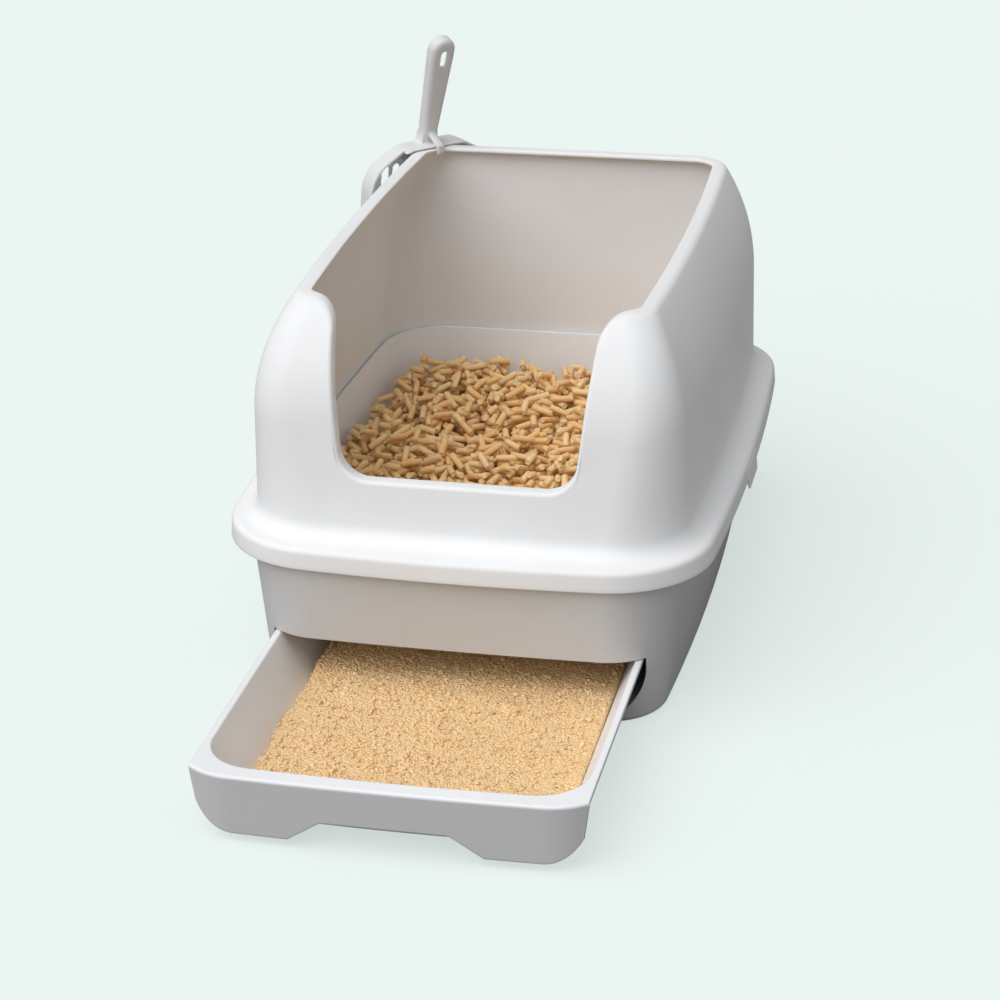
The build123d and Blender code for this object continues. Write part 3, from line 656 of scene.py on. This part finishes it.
def recess_places():
    """The p of the columns just outside and inside the ends of the latch's recess in the skirt.

    A side's p runs evenly with its angle, and the angle past square is the arcsine of y over the radius."""
    arcs = brim_arcs(SKIRT_FLARE / 2)
    first, last = arcs["turn"][2], arcs["turn"][3]
    y = np.array([end + step for end in RECESS_ENDS for step in (-0.15, 0.15)])
    return 2 + (pi / 2 + np.arcsin(y / arcs["radius"][2]) - first) / (last - first)


def hood_rows(hood):
    """The rows of points that go once round the hood's section, outside, over the edge, inside, and under."""
    wall, band, lip = hood.wall / MM, hood.rim_band / MM, hood.rim_lip / MM
    round_out, round_in, round_under, hollow = hood.rim_round / MM, 2.4, 1.2, 2.0
    _, _, horn_x = cut_edge(0.0)
    recess = recess_places()
    stops = (0.0, 0.57, 0.70, 0.98, 1.45, 2.0)
    counts = (*EDGE_STEPS, CORNER_STEPS)
    foot = [np.linspace(a, b, n, endpoint=False) for a, b, n in zip(stops, stops[1:], counts)]
    side = np.concatenate([np.linspace(2.0, 3.0, 64, endpoint=False), recess])
    tail = np.concatenate([np.sort(side), np.linspace(3.0, 4.0, 20, endpoint=False), np.linspace(4.0, 5.0, 27)])
    foot = np.concatenate(foot + [tail])

    def edge_row(depth, k):
        """Where the cut edge lies along the wall: p and z of each column."""
        x, z, _ = cut_edge(k)
        z = np.concatenate([z, np.full(CORNER_STEPS + len(tail), RIM - k)])
        arcs = hood_arcs(z[: len(x)], depth)
        start = float(front_place(hood_arcs(np.array([RIM - k]), depth), np.array([horn_x]))[0])
        corner = np.linspace(start, 2.0, CORNER_STEPS, endpoint=False)
        return np.concatenate([front_place(arcs, x), corner, tail]), z

    def wall_row(p, z, depth):
        x, y = on_outline(hood_arcs(z, depth), p)
        return np.stack([x, y, z], axis=-1)

    # outside, from the fillet up to the edge
    top_p, top_z = edge_row(0.0, round_out)
    low = BRIM_TOP + WALL_FILLET
    rows = [wall_row(foot + (top_p - foot) * t, low + (top_z - low) * t, 0.0) for t in np.linspace(0, 1, 44)]
    # over the edge: round, flat band, round, underside, and the hollow where it meets the wall
    section = [(round_out * (1 - cos(t)), round_out * (1 - sin(t))) for t in quarter(7)[1:]]
    section += [(round_out + (band - round_in - round_out) * t, 0.0) for t in (0.33, 0.66)]
    section += [(band - round_in + round_in * sin(t), round_in * (1 - cos(t))) for t in quarter(6)]
    section += [(band - round_under * (1 - cos(t)), lip - round_under * (1 - sin(t))) for t in quarter(4)]
    section.append(((band + wall) / 2, lip))
    section += [(wall + hollow * (1 - sin(t)), lip + hollow * (1 - cos(t))) for t in quarter(4)]
    rows += [wall_row(*edge_row(depth, k), depth) for depth, k in section]
    # inside, down to the brim's underside
    top_p, top_z = edge_row(wall, lip + hollow)
    for share in np.linspace(1, 0, 40)[1:]:
        z = BRIM_UNDERSIDE + (top_z - BRIM_UNDERSIDE) * share
        rows.append(wall_row(foot + (top_p - foot) * share, z, wall))
    # under the brim, round the skirt, and back over the brim
    recessed = (foot > recess[1]) & (foot < recess[2])
    height = BRIM_TOP - SKIRT_FOOT

    def brim_row(grow, z):
        """A row of the brim or skirt; where the latch has its recess, the skirt's foot is pressed up."""
        lifted = RECESS_TOP + (z - SKIRT_FOOT) * 0.05
        rise = max(lifted - z, 0.0) * recessed
        x, y = on_outline(brim_arcs(grow - SKIRT_FLARE * rise / height), foot)
        return np.stack([x, y, z + rise], axis=-1)

    inner = rows[-1]
    outer = brim_row(-SKIRT_THICKNESS, BRIM_UNDERSIDE)
    rows += [inner + (outer - inner) * t for t in (0.03, 0.5, 0.97)]
    flare_in = SKIRT_FLARE - SKIRT_THICKNESS
    rows += [brim_row(-SKIRT_THICKNESS + 0.1, BRIM_UNDERSIDE - 0.6), brim_row(flare_in, SKIRT_FOOT + 1.3)]
    for t in quarter(4):
        rows.append(brim_row(flare_in + SKIRT_ROUND * (1 - cos(t)), SKIRT_FOOT + SKIRT_ROUND * (1 - sin(t))))
    for t in quarter(4):
        rows.append(brim_row(SKIRT_FLARE - SKIRT_ROUND * (1 - sin(t)), SKIRT_FOOT + SKIRT_ROUND * (1 - cos(t))))
    edge = hood.brim_round / MM
    rows += [brim_row(SKIRT_FLARE * (1 - t), SKIRT_FOOT + height * t) for t in (0.25, 0.5)]
    start = SKIRT_FLARE * edge / height
    for t in quarter(8):
        rows.append(brim_row((start - edge) + edge * cos(t) - start * sin(t), BRIM_TOP - edge * (1 - sin(t))))
    fillet = []
    for t in quarter(10)[:-1]:
        z = np.full_like(foot, BRIM_TOP + WALL_FILLET * (1 - cos(t)))
        fillet.append(wall_row(foot, z, np.full_like(foot, -WALL_FILLET * (1 - sin(t)))))
    return [*rows, (rows[-1] + fillet[0]) / 2, *fillet]


# ---- operators, one for each group of pieces


class LITTERBOX_OT_hood(bpy.types.Operator):
    """Make the hood: one wall of rows that follow its cut edge, with its flange, brim and skirt"""

    bl_idname = "litterbox.hood"
    bl_label = "Hood"

    def execute(self, context):
        finish = context.scene.litterbox_finish
        white = moulded_plastic("white_shell_plastic", finish.white, 0.4)
        half = np.stack(hood_rows(context.scene.litterbox_hood))
        left = half[:, -2:0:-1] * np.array([-1.0, 1.0, 1.0])
        whole = np.concatenate([half, left], axis=1)
        rows, columns = whole.shape[:2]
        faces = [grid_quads(rows, columns, wrap_rows=True, wrap_columns=True)]
        shell = piece("hood_shell", whole.reshape(-1, 3), faces, white)
        shell.data.set_sharp_from_angle(angle=radians(40.0))
        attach(shell, "hood")
        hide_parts("hood")
        return {"FINISHED"}


class LITTERBOX_OT_mouldings(bpy.types.Operator):
    """Finish the base tub, the drawer, the sieve tray, the scoop and the latches"""

    bl_idname = "litterbox.mouldings"
    bl_label = "Tub, drawer, tray, scoop and latches"

    def execute(self, context):
        finish = context.scene.litterbox_finish
        grey = moulded_plastic("grey_shell_plastic", finish.grey, 0.42, 0.0015)
        # The drawer's front face is painted the tub's darker grey, as shade on it
        face = (tuple(finish.grey), BRIM_MIDDLE + DRAWER_PANEL * MM, PAINTED_SHADE_TOP * MM)
        drawer = moulded_plastic("drawer_plastic_painted_face_shade", finish.drawer, 0.38, 0.002, face)
        tray = moulded_plastic("grey_tray_plastic", finish.tray, 0.42, 0.0012)
        scoop = moulded_plastic("scoop_plastic", finish.scoop, 0.4, 0.0012)
        latch = moulded_plastic("latch_plastic", finish.white, 0.36, 0.0006)
        finished = {"base_tub": grey, "drawer": drawer, "sieve_tray": tray, "latch_left": latch, "latch_right": latch}
        for node, material in finished.items():
            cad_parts[node].material_slots[0].material = material
        softened = self.softened("scoop_moulding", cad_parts["scoop"], scoop)
        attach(softened, "scoop")
        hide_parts("scoop")
        return {"FINISHED"}

    def softened(self, name, node, material):
        """A merged copy of a node's mesh, laid over with one-millimetre squares and relaxed, so that
        its edges and the joins of its handle are as soft as a moulding's."""
        mesh = node.data.copy()
        rework(mesh, lambda shell: bmesh.ops.remove_doubles(shell, verts=shell.verts, dist=1e-6))
        source = linked(name + "_source", mesh)
        squares = source.modifiers.new("squares", "REMESH")
        squares.mode = "VOXEL"
        squares.voxel_size = 0.001
        relaxed = source.modifiers.new("relaxed", "SMOOTH")
        relaxed.factor, relaxed.iterations = 0.5, 3
        evaluated = source.evaluated_get(bpy.context.evaluated_depsgraph_get())
        finished = bpy.data.meshes.new_from_object(evaluated)
        bpy.data.objects.remove(source)
        finished.name = name
        finished.polygons.foreach_set("use_smooth", np.ones(len(finished.polygons), bool))
        finished.materials.clear()
        finished.materials.append(material)
        return linked(name, finished)


class LITTERBOX_OT_fittings(bpy.types.Operator):
    """Finish the rubber feet and the latch pins"""

    bl_idname = "litterbox.fittings"
    bl_label = "Feet and pins"

    def execute(self, context):
        finish = context.scene.litterbox_finish
        rubber = foot_rubber("foot_rubber", finish.rubber)
        steel = drawn_steel("pin_steel", finish.steel)
        for node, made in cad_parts.items():
            if node.startswith("foot_"):
                made.material_slots[0].material = rubber
            elif node.startswith("latch_pin_"):
                made.material_slots[0].material = steel
        return {"FINISHED"}


def drawn_in(y, front, rear, corner):
    """How far a rounded corner draws a side in, at a place along that side."""
    near = np.clip(np.minimum(y - front, rear - y), 0, corner)
    return corner - np.sqrt(np.maximum(corner**2 - (corner - near) ** 2, 0))


def across_rows(y, half, columns):
    """The x and y of a grid of points: rows across, each at its own y and half width."""
    return half[:, None] * np.linspace(-1, 1, columns), np.repeat(y[:, None], columns, axis=1)


def tray_half_width(y, z):
    """Half the clear width inside the sieve tray: its wall leans, and bows towards the middle of its length."""
    bow = TRAY_BOW * ((y - TRAY_MIDDLE) / TRAY_BOW_REACH) ** 2
    return TRAY_HALF_WIDTH - (TRAY_TOP - z) * TRAY_LEAN - bow


def inside_tray(x, y, z, margin):
    """Whether points lie inside the tray's rounded plan, a margin from its wall."""
    half_width = tray_half_width(y, z) - margin
    half_length = TRAY_HALF_LENGTH - (TRAY_TOP - z) * TRAY_LEAN - margin
    corner = TRAY_CORNER - margin
    x, y = np.abs(x), np.abs(y - TRAY_MIDDLE)
    past_x, past_y = np.maximum(x - (half_width - corner), 0), np.maximum(y - (half_length - corner), 0)
    return (np.hypot(past_x, past_y) < corner) & (x < half_width) & (y < half_length)


class HeightMap:
    """The height of a growing bed over each square of a grid."""

    def __init__(self, corner, size, cell):
        self.corner, self.cell = corner, cell
        self.x, self.y = (
            start + (np.arange(int(extent / cell)) + 0.5) * cell for start, extent in zip(corner, size)
        )
        self.z = CORE_TOP + 3.0 * soft_noise(*np.meshgrid(self.x, self.y, indexing="ij"), 60.0, 3)

    def under(self, x, y):
        """Heights of the bed at points."""
        i, j = (
            np.clip(((place - start) / self.cell).astype(int), 0, last - 1)
            for place, start, last in zip((x, y), self.corner, self.z.shape)
        )
        return self.z[i, j]

    def settle(self, x, y, yaw, slope, centre_z, length, radius):
        """Raises the bed to the upper side of a pellet: its axis plus the half circle across it."""
        reach = length / 2 + radius
        i, j = (
            slice(max(int((place - reach - start) / self.cell), 0), int((place + reach - start) / self.cell) + 1)
            for place, start in zip((x, y), self.corner)
        )
        dx, dy = self.x[i, None] - x, self.y[None, j] - y
        along = dx * cos(yaw) + dy * sin(yaw)
        across = -dx * sin(yaw) + dy * cos(yaw)
        covered = (np.abs(along) < length / 2) & (np.abs(across) < radius)
        top = centre_z + slope * along + np.sqrt(np.maximum(radius**2 - across**2, 0)) * 0.96
        patch = self.z[i, j]
        patch[covered] = np.maximum(patch[covered], top[covered])


class LITTERBOX_OT_pellets(bpy.types.Operator):
    """Drop the wood pellets one by one on a height map, so that each lies on those below it"""

    bl_idname = "litterbox.pellets"
    bl_label = "Wood pellets"

    def execute(self, context):
        litter = context.scene.litterbox_litter
        wood = pressed_wood("pressed_wood", context.scene.litterbox_finish.pellet)
        rng = np.random.default_rng(litter.seed)
        radius = litter.pellet_radius / MM
        bed = HeightMap(corner=(-190.0, -256.0), size=(380.0, 520.0), cell=1.5)
        core = self.core(bed, wood)
        laid = []
        while len(laid) < litter.pellet_count:
            length = rng.uniform(litter.pellet_shortest, litter.pellet_longest) / MM
            found = self.lowest_place(bed, length, radius, rng)
            if found is None:
                continue
            lift, slope, x, y, yaw = found
            pitch = atan2(slope, 1.0)
            centre_z = lift + radius / cos(pitch)
            bed.settle(x, y, yaw, slope, centre_z, length, radius)
            laid.append((x, y, centre_z, yaw, pitch, length, rng.uniform(0, 2 * pi)))
        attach(core, "tray")
        laid = np.array(laid)
        order = np.argsort(laid[:, 2], kind="stable")
        for name, chosen in (("pellets_lower", order[: len(order) // 2]), ("pellets_upper", order[len(order) // 2 :])):
            made = self.pellets(name, laid[chosen], radius, wood, rng)
            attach(made, "tray")
            if name == "pellets_upper":
                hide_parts("litter_pellets")
        return {"FINISHED"}

    def core(self, bed, material):
        """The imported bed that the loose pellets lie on, as one closed block that fills the tray's foot.

        Its top is the bed's height; a row's half width is the tray's, drawn in round the corners."""
        front, rear = TRAY_MIDDLE - CORE_HALF_LENGTH, TRAY_MIDDLE + CORE_HALF_LENGTH
        y = np.linspace(front + 0.5, rear - 0.5, 120)
        half = tray_half_width(y, CORE_RIM) - CORE_GAP - drawn_in(y, front, rear, CORE_CORNER)
        x, y = across_rows(y, half, 90)
        i = np.clip(np.searchsorted(bed.x, x), 0, len(bed.x) - 1)
        j = np.clip(np.searchsorted(bed.y, y), 0, len(bed.y) - 1)
        points, faces = filled_bed(x, y, bed.z[i, j], CORE_FOOT, 0.975)
        made = piece("pellets_core", points, faces, material)
        add_value(made, "tint", np.zeros(len(points)))
        return made

    def lowest_place(self, bed, length, radius, rng):
        """The lowest of a few places where a pellet comes to rest, or None if it fits at none of them.

        Of the lines through a height of each half, it lies on the one that is highest at its middle."""
        best = None
        for _ in range(TRIES):
            yaw = rng.uniform(0, pi)
            x, y = rng.uniform(*DROP_ACROSS), rng.uniform(*DROP_ALONG)
            s = np.linspace(-0.5, 0.5, 8) * length
            px, py = x + s * cos(yaw), y + s * sin(yaw)
            if not inside_tray(px[[0, -1]], py[[0, -1]], DROP_LEVEL, radius + 1.2).all():
                continue
            side_x, side_y = -sin(yaw) * radius * 0.6, cos(yaw) * radius * 0.6
            lines = [bed.under(px + side_x * w, py + side_y * w) for w in (-1, 0, 1)]
            heights = np.max(lines, axis=0)
            low, high = s[:4], s[4:]
            slope = (heights[4:][None] - heights[:4][:, None]) / (high[None] - low[:, None])
            at_middle = heights[:4][:, None] - slope * low[:, None]
            k = np.unravel_index(np.argmax(at_middle), at_middle.shape)
            lift = at_middle[k]
            if abs(slope[k]) < STEEPEST and (best is None or lift < best[0]):
                best = (lift, slope[k], x, y, yaw)
        return best

    def pellets(self, name, laid, radius, material, rng):
        """All pellets as one mesh: rings of ten points round each axis, with chipped ends.

        A point is centre + axis * (share of half the length) + radius * (cos * side + sin * up)."""
        n, sides = len(laid), 10
        x, y, z, yaw, pitch, length, roll = laid.T
        axis = np.stack([np.cos(yaw) * np.cos(pitch), np.sin(yaw) * np.cos(pitch), np.sin(pitch)], -1)
        side = np.stack([-np.sin(yaw), np.cos(yaw), np.zeros(n)], -1)
        up = np.cross(axis, side)
        centre = np.stack([x, y, z], -1)
        half = length / 2
        ring_at = np.stack([-half + 0.2, -half + 0.9, half - 0.9, half - 0.2], -1)[:, :, None].repeat(sides, axis=2)
        ring_at[:, 0] += rng.uniform(-0.5, 0.7, (n, sides))
        ring_at[:, 3] -= rng.uniform(-0.5, 0.7, (n, sides))
        turn = np.linspace(0, 2 * pi, sides, endpoint=False)[None, None].repeat(4, axis=1) + roll[:, None, None]
        size = radius * np.array([0.86, 1.0, 1.0, 0.86])[:, None] * rng.uniform(0.95, 1.03, (n, 4, sides))
        bend = rng.uniform(-0.5, 0.5, (n, 1, 1)) * (1 - (ring_at / half[:, None, None]) ** 2)
        points = (
            centre[:, None, None]
            + axis[:, None, None] * ring_at[..., None]
            + side[:, None, None] * (size * np.cos(turn) + bend)[..., None]
            + up[:, None, None] * (size * np.sin(turn))[..., None]
        ).reshape(n, 4 * sides, 3)
        ends = np.stack([-half + rng.uniform(0.1, 1.1, n), half - rng.uniform(0.1, 1.1, n)], -1)
        tips = centre[:, None] + axis[:, None] * ends[..., None]
        points = np.concatenate([points, tips], axis=1)
        count = 4 * sides + 2
        first = (np.arange(n) * count)[:, None, None]
        quads = (first + grid_quads(4, sides, wrap_columns=True)[None]).reshape(-1, 4)
        ring = np.arange(sides)
        low_cap = np.stack([(ring + 1) % sides, ring, np.full(sides, 4 * sides)], -1)
        high_cap = np.stack([3 * sides + ring, 3 * sides + (ring + 1) % sides, np.full(sides, 4 * sides + 1)], -1)
        caps = (first + np.concatenate([low_cap, high_cap])[None]).reshape(-1, 3)
        made = piece(name, points.reshape(-1, 3), [quads, caps], material, flat_from=len(quads))
        add_value(made, "tint", np.repeat(rng.uniform(0, 1, n), count))
        torn = np.concatenate([np.zeros((n, 4 * sides)), np.ones((n, 2))], axis=1)
        torn[:, :sides] = torn[:, 3 * sides : 4 * sides] = 0.75
        add_value(made, "torn", torn.ravel())
        along = np.concatenate([ring_at.reshape(n, -1), ends], axis=1) + (np.arange(n) * 7.3)[:, None]
        round_it = np.concatenate([((turn - roll[:, None, None]) * radius).reshape(n, -1), np.zeros((n, 2))], axis=1)
        uv = np.stack([along.ravel(), round_it.ravel()], -1)
        corner = np.zeros(len(made.data.loops), np.int32)
        made.data.loops.foreach_get("vertex_index", corner)
        made.data.uv_layers.new(name="pellet").data.foreach_set("uv", uv[corner].astype(np.float32).ravel())
        return made


def filled_bed(x, y, z, foot_z, draw):
    """A closed bed: a grid of top points, walls from its rim to a smaller foot, and a fan across that."""
    rows, columns = x.shape
    grid = np.arange(rows * columns).reshape(rows, columns)
    rim = np.concatenate([grid[0], grid[1:, -1], grid[-1, -2::-1], grid[-2:0:-1, 0]])
    top = np.stack([x, y, z], -1).reshape(-1, 3)
    middle = np.array([0.0, (y[0, 0] + y[-1, 0]) / 2, foot_z])
    foot = top[rim] * np.array([1.0, 1.0, 0.0]) + np.array([0.0, 0.0, foot_z])
    foot = middle + (foot - middle) * draw
    n, total = len(rim), len(top)
    ring = np.arange(n)
    skirt = np.stack([rim, rim[(ring + 1) % n], total + (ring + 1) % n, total + ring], -1)
    fan = np.stack([total + ring, total + (ring + 1) % n, np.full(n, total + n)], -1)
    return np.concatenate([top, foot, middle[None]]), [grid_quads(rows, columns), skirt, fan]


def drawer_half_width(y, z):
    """Half the clear width inside the drawer at a height, with its front and rear: sloping walls, rounded ends."""
    depth = (DRAWER_RIM - z) / DRAWER_DEPTH
    front, rear = DRAWER_FRONT + END_SLOPE * depth, DRAWER_REAR - END_SLOPE * depth
    return DRAWER_HALF_WIDTH - SIDE_SLOPE * depth - drawn_in(y, front, rear, DRAWER_CORNER), front, rear


class LITTERBOX_OT_sawdust(bpy.types.Operator):
    """Lay the sawdust: an uneven bed with a crumbling edge, and loose grains over it"""

    bl_idname = "litterbox.sawdust"
    bl_label = "Sawdust"

    def execute(self, context):
        litter = context.scene.litterbox_litter
        dust = loose_sawdust("loose_sawdust", context.scene.litterbox_finish.sawdust)
        rng = np.random.default_rng(litter.seed + 1)
        _, front, rear = drawer_half_width(np.zeros(1), SAWDUST_LEVEL)
        y = front + 1.5 + (rear - front - 3.0) * np.linspace(0, 1, 330)
        x, y = across_rows(y, drawer_half_width(y, SAWDUST_TOP)[0] - 0.5, 190)
        z = self.height(x, y)
        limit = drawer_half_width(y, z)[0] - 0.5
        x = np.clip(x, -limit, limit)
        points, faces = filled_bed(x, y, z, SAWDUST_FOOT, 0.93)
        bed = piece("sawdust_bed", points, faces, dust)
        add_value(bed, "tint", soft_noise(points[:, 0], points[:, 1], 3.0, 8))
        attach(bed, "drawer")
        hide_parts("sawdust")
        self.grains(litter.grain_count, front, rear, dust, rng)
        return {"FINISHED"}

    def height(self, x, y):
        """Height of the bed: a level top with hollows and crumbs, falling away near the walls."""
        half, front, rear = drawer_half_width(y, SAWDUST_LEVEL)
        waver = 9.0 * soft_noise(x, y, 22.0, 21) + 5.0 * soft_noise(x, y, 7.0, 22)
        shaken = 0.55 * np.clip(-x / 100.0, 0, 1)
        gap = np.minimum(half - np.abs(x), np.minimum(y - front, rear - y) + 3.0) - waver * shaken + 6.0 * (x > 0)
        top = 25.6 + 2.2 * soft_noise(x, y, 70.0, 23) + 1.4 * soft_noise(x, y, 18.0, 24)
        crumbs = 0.9 * soft_noise(x, y, 3.2, 25) + 0.8 * soft_noise(x, y, 1.9, 26)
        return SAWDUST_EDGE + (top - SAWDUST_EDGE) * eased(np.clip(gap / 9.0, 0, 1)) + crumbs - 0.8

    def grains(self, count, front, rear, material, rng):
        """Loose grains: a twelve-cornered ball each, stretched and flattened at random."""
        y = rng.uniform(front + 6, rear - 6, count)
        x = rng.uniform(-1, 1, count) * (drawer_half_width(y, SAWDUST_LEVEL)[0] - 3.0)
        size = 0.75 + 1.7 * rng.random(count) ** 4
        z = self.height(x, y) + size * 0.25
        limit = drawer_half_width(y, z)[0] - 2.0 * size
        x = np.clip(x, -limit, limit)
        gold = (1 + sqrt(5)) / 2
        a, b = (np.array([(1, 1), (1, -1), (-1, 1), (-1, -1)]) * (1, gold)).T
        none = np.zeros(4)
        corners = np.array([(none, a, b), (a, b, none), (b, none, a)]).transpose(0, 2, 1).reshape(12, 3)
        corners /= sqrt(1 + gold**2)
        seed = bmesh.new()
        for corner in corners:
            seed.verts.new(corner)
        bmesh.ops.convex_hull(seed, input=seed.verts)
        seed.verts.index_update()
        triangles = np.array([[v.index for v in f.verts] for f in seed.faces])
        seed.free()
        stretch = rng.uniform(0.7, 1.7, (count, 1, 3)) * np.array([1.0, 1.0, 0.6])
        rough = rng.uniform(0.75, 1.2, (count, 12, 1))
        yaw, tilt = rng.uniform(0, 2 * pi, count), rng.normal(0, 0.35, count)
        sy, cy, st, ct = np.sin(yaw), np.cos(yaw), np.sin(tilt), np.cos(tilt)
        turn = np.array([(cy * ct, -sy, cy * st), (sy * ct, cy, sy * st), (-st, np.zeros(count), ct)])
        local = corners[None] * stretch * rough * size[:, None, None]
        points = np.einsum("ijn,nkj->nki", turn, local) + np.stack([x, y, z], -1)[:, None]
        faces = (triangles[None] + (np.arange(count) * 12)[:, None, None]).reshape(-1, 3)
        made = piece("sawdust_grains", points.reshape(-1, 3), [faces], material, flat_from=0)
        add_value(made, "tint", np.repeat(rng.uniform(0, 1.6, count), 12))
        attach(made, "drawer")


class LITTERBOX_OT_stage(bpy.types.Operator):
    """Set the plain floor, the backdrop, the lights and the camera"""

    bl_idname = "litterbox.stage"
    bl_label = "Stage"

    def execute(self, context):
        scene, stage = context.scene, context.scene.litterbox_stage
        self.floor(stage)
        self.sky(scene, stage)
        self.key(stage)
        self.camera(scene, stage)
        scene.view_settings.view_transform = "Standard"
        return {"FINISHED"}

    def floor(self, stage):
        """A level sheet that shows the backdrop's colour and the shadow, and lights the box as a grey card does."""
        made = Finish(bpy.data.materials.new("floor_paint"))
        place = made.place()
        level = stage.key_strength / pi * KEY_DIRECTION.z + stage.sky
        paint = shade(stage.backdrop, 1 / level)
        tone = made.blend(made.noise(place, 1.5), shade(paint, 0.995), shade(paint, 1.005))
        matt = made.node("ShaderNodeBsdfDiffuse", None, {"Color": tone})
        plain = made.node("ShaderNodeEmission", None, {"Color": tuple(stage.backdrop)})
        seen = made.node("ShaderNodeLightPath", output="Is Camera Ray")
        away = made.node("ShaderNodeVectorMath", {"operation": "LENGTH"}, {0: place}, output="Value")
        share = 0.70 + made.ramp(away, 0.9, 1.6) * 0.30
        shown = made.node("ShaderNodeMixShader", None, {0: share, 1: matt, 2: plain})
        card = made.node("ShaderNodeBsdfDiffuse", None, {"Color": (0.33, 0.33, 0.33)})
        mixed = made.node("ShaderNodeMixShader", None, {0: seen, 1: card, 2: shown})
        made.node("ShaderNodeOutputMaterial", None, {"Surface": mixed})
        across = np.linspace(-6000.0, 6000.0, 9)
        x, y = np.meshgrid(across, across)
        points = np.stack([x.ravel(), y.ravel(), np.zeros(x.size)], -1)
        sheet = piece("floor", points, [grid_quads(9, 9)], made.owner, outwards=False)

    def sky(self, scene, stage):
        """Even light from all round; the camera sees the backdrop's colour."""
        made = Finish(bpy.data.worlds.new("backdrop"))
        seen = made.node("ShaderNodeLightPath", output="Is Camera Ray")
        light = made.node("ShaderNodeBackground", None, {"Color": (1.0, 1.0, 1.0), "Strength": stage.sky})
        plain = made.node("ShaderNodeBackground", None, {"Color": tuple(stage.backdrop)})
        mixed = made.node("ShaderNodeMixShader", None, {0: seen, 1: light, 2: plain})
        made.node("ShaderNodeOutputWorld", None, {"Surface": mixed})
        scene.world = made.owner

    def key(self, stage):
        """A broad light from the upper left, as even over the floor as over the box."""
        data = bpy.data.lights.new("key", "SUN")
        data.energy = stage.key_strength
        data.angle = stage.key_breadth
        made = linked("key", data)
        made.rotation_mode = "QUATERNION"
        made.rotation_quaternion = KEY_DIRECTION.to_track_quat("Z", "Y")

    def camera(self, scene, stage):
        """The camera at its distance, azimuth and elevation from the target, turned by its roll."""
        a, e = stage.azimuth, stage.elevation
        back = Vector((sin(a) * cos(e), -cos(a) * cos(e), sin(e)))
        right = (-back).cross(Vector((0, 0, 1))).normalized()
        up = right.cross(-back)
        side = right * cos(stage.roll) + up * sin(stage.roll)
        head = up * cos(stage.roll) - right * sin(stage.roll)
        data = bpy.data.cameras.new("camera")
        data.lens = stage.lens
        data.sensor_width = 36.0
        data.clip_start, data.clip_end = 0.05, 100.0
        made = linked("camera", data)
        target = Vector((CAMERA_TARGET[0], BRIM_MIDDLE, CAMERA_TARGET[1]))
        turned = Matrix((side, head, back)).transposed().to_4x4()
        made.matrix_world = Matrix.Translation(target + back * stage.distance) @ turned
        scene.camera = made


class LITTERBOX_PT_panel(bpy.types.Panel):
    """The litter box's pieces and settings"""

    bl_idname = "LITTERBOX_PT_panel"
    bl_label = "Litter Box"
    bl_space_type = "VIEW_3D"
    bl_region_type = "UI"
    bl_category = "Litter Box"

    def draw(self, context):
        for name in SETTINGS:
            group = getattr(context.scene, name)
            box = self.layout.box()
            for key in group.__annotations__:
                box.prop(group, key)
        for operator in OPERATORS:
            self.layout.operator(operator.bl_idname)


SETTINGS = {
    "litterbox_hood": HoodSettings,
    "litterbox_litter": LitterSettings,
    "litterbox_finish": FinishSettings,
    "litterbox_stage": StageSettings,
}
OPERATORS = (
    LITTERBOX_OT_hood,
    LITTERBOX_OT_mouldings,
    LITTERBOX_OT_fittings,
    LITTERBOX_OT_pellets,
    LITTERBOX_OT_sawdust,
    LITTERBOX_OT_stage,
)


def register():
    for name, group in SETTINGS.items():
        bpy.utils.register_class(group)
        setattr(bpy.types.Scene, name, bpy.props.PointerProperty(type=group))
    for operator in OPERATORS:
        bpy.utils.register_class(operator)
    bpy.utils.register_class(LITTERBOX_PT_panel)


def unregister():
    bpy.utils.unregister_class(LITTERBOX_PT_panel)
    for operator in reversed(OPERATORS):
        bpy.utils.unregister_class(operator)
    for name, group in SETTINGS.items():
        delattr(bpy.types.Scene, name)
        bpy.utils.unregister_class(group)


def main():
    register()
    bpy.ops.litterbox.stage()
    bpy.ops.litterbox.hood()
    bpy.ops.litterbox.mouldings()
    bpy.ops.litterbox.fittings()
    bpy.ops.litterbox.pellets()
    bpy.ops.litterbox.sawdust()


if __name__ == "__main__":
    main()
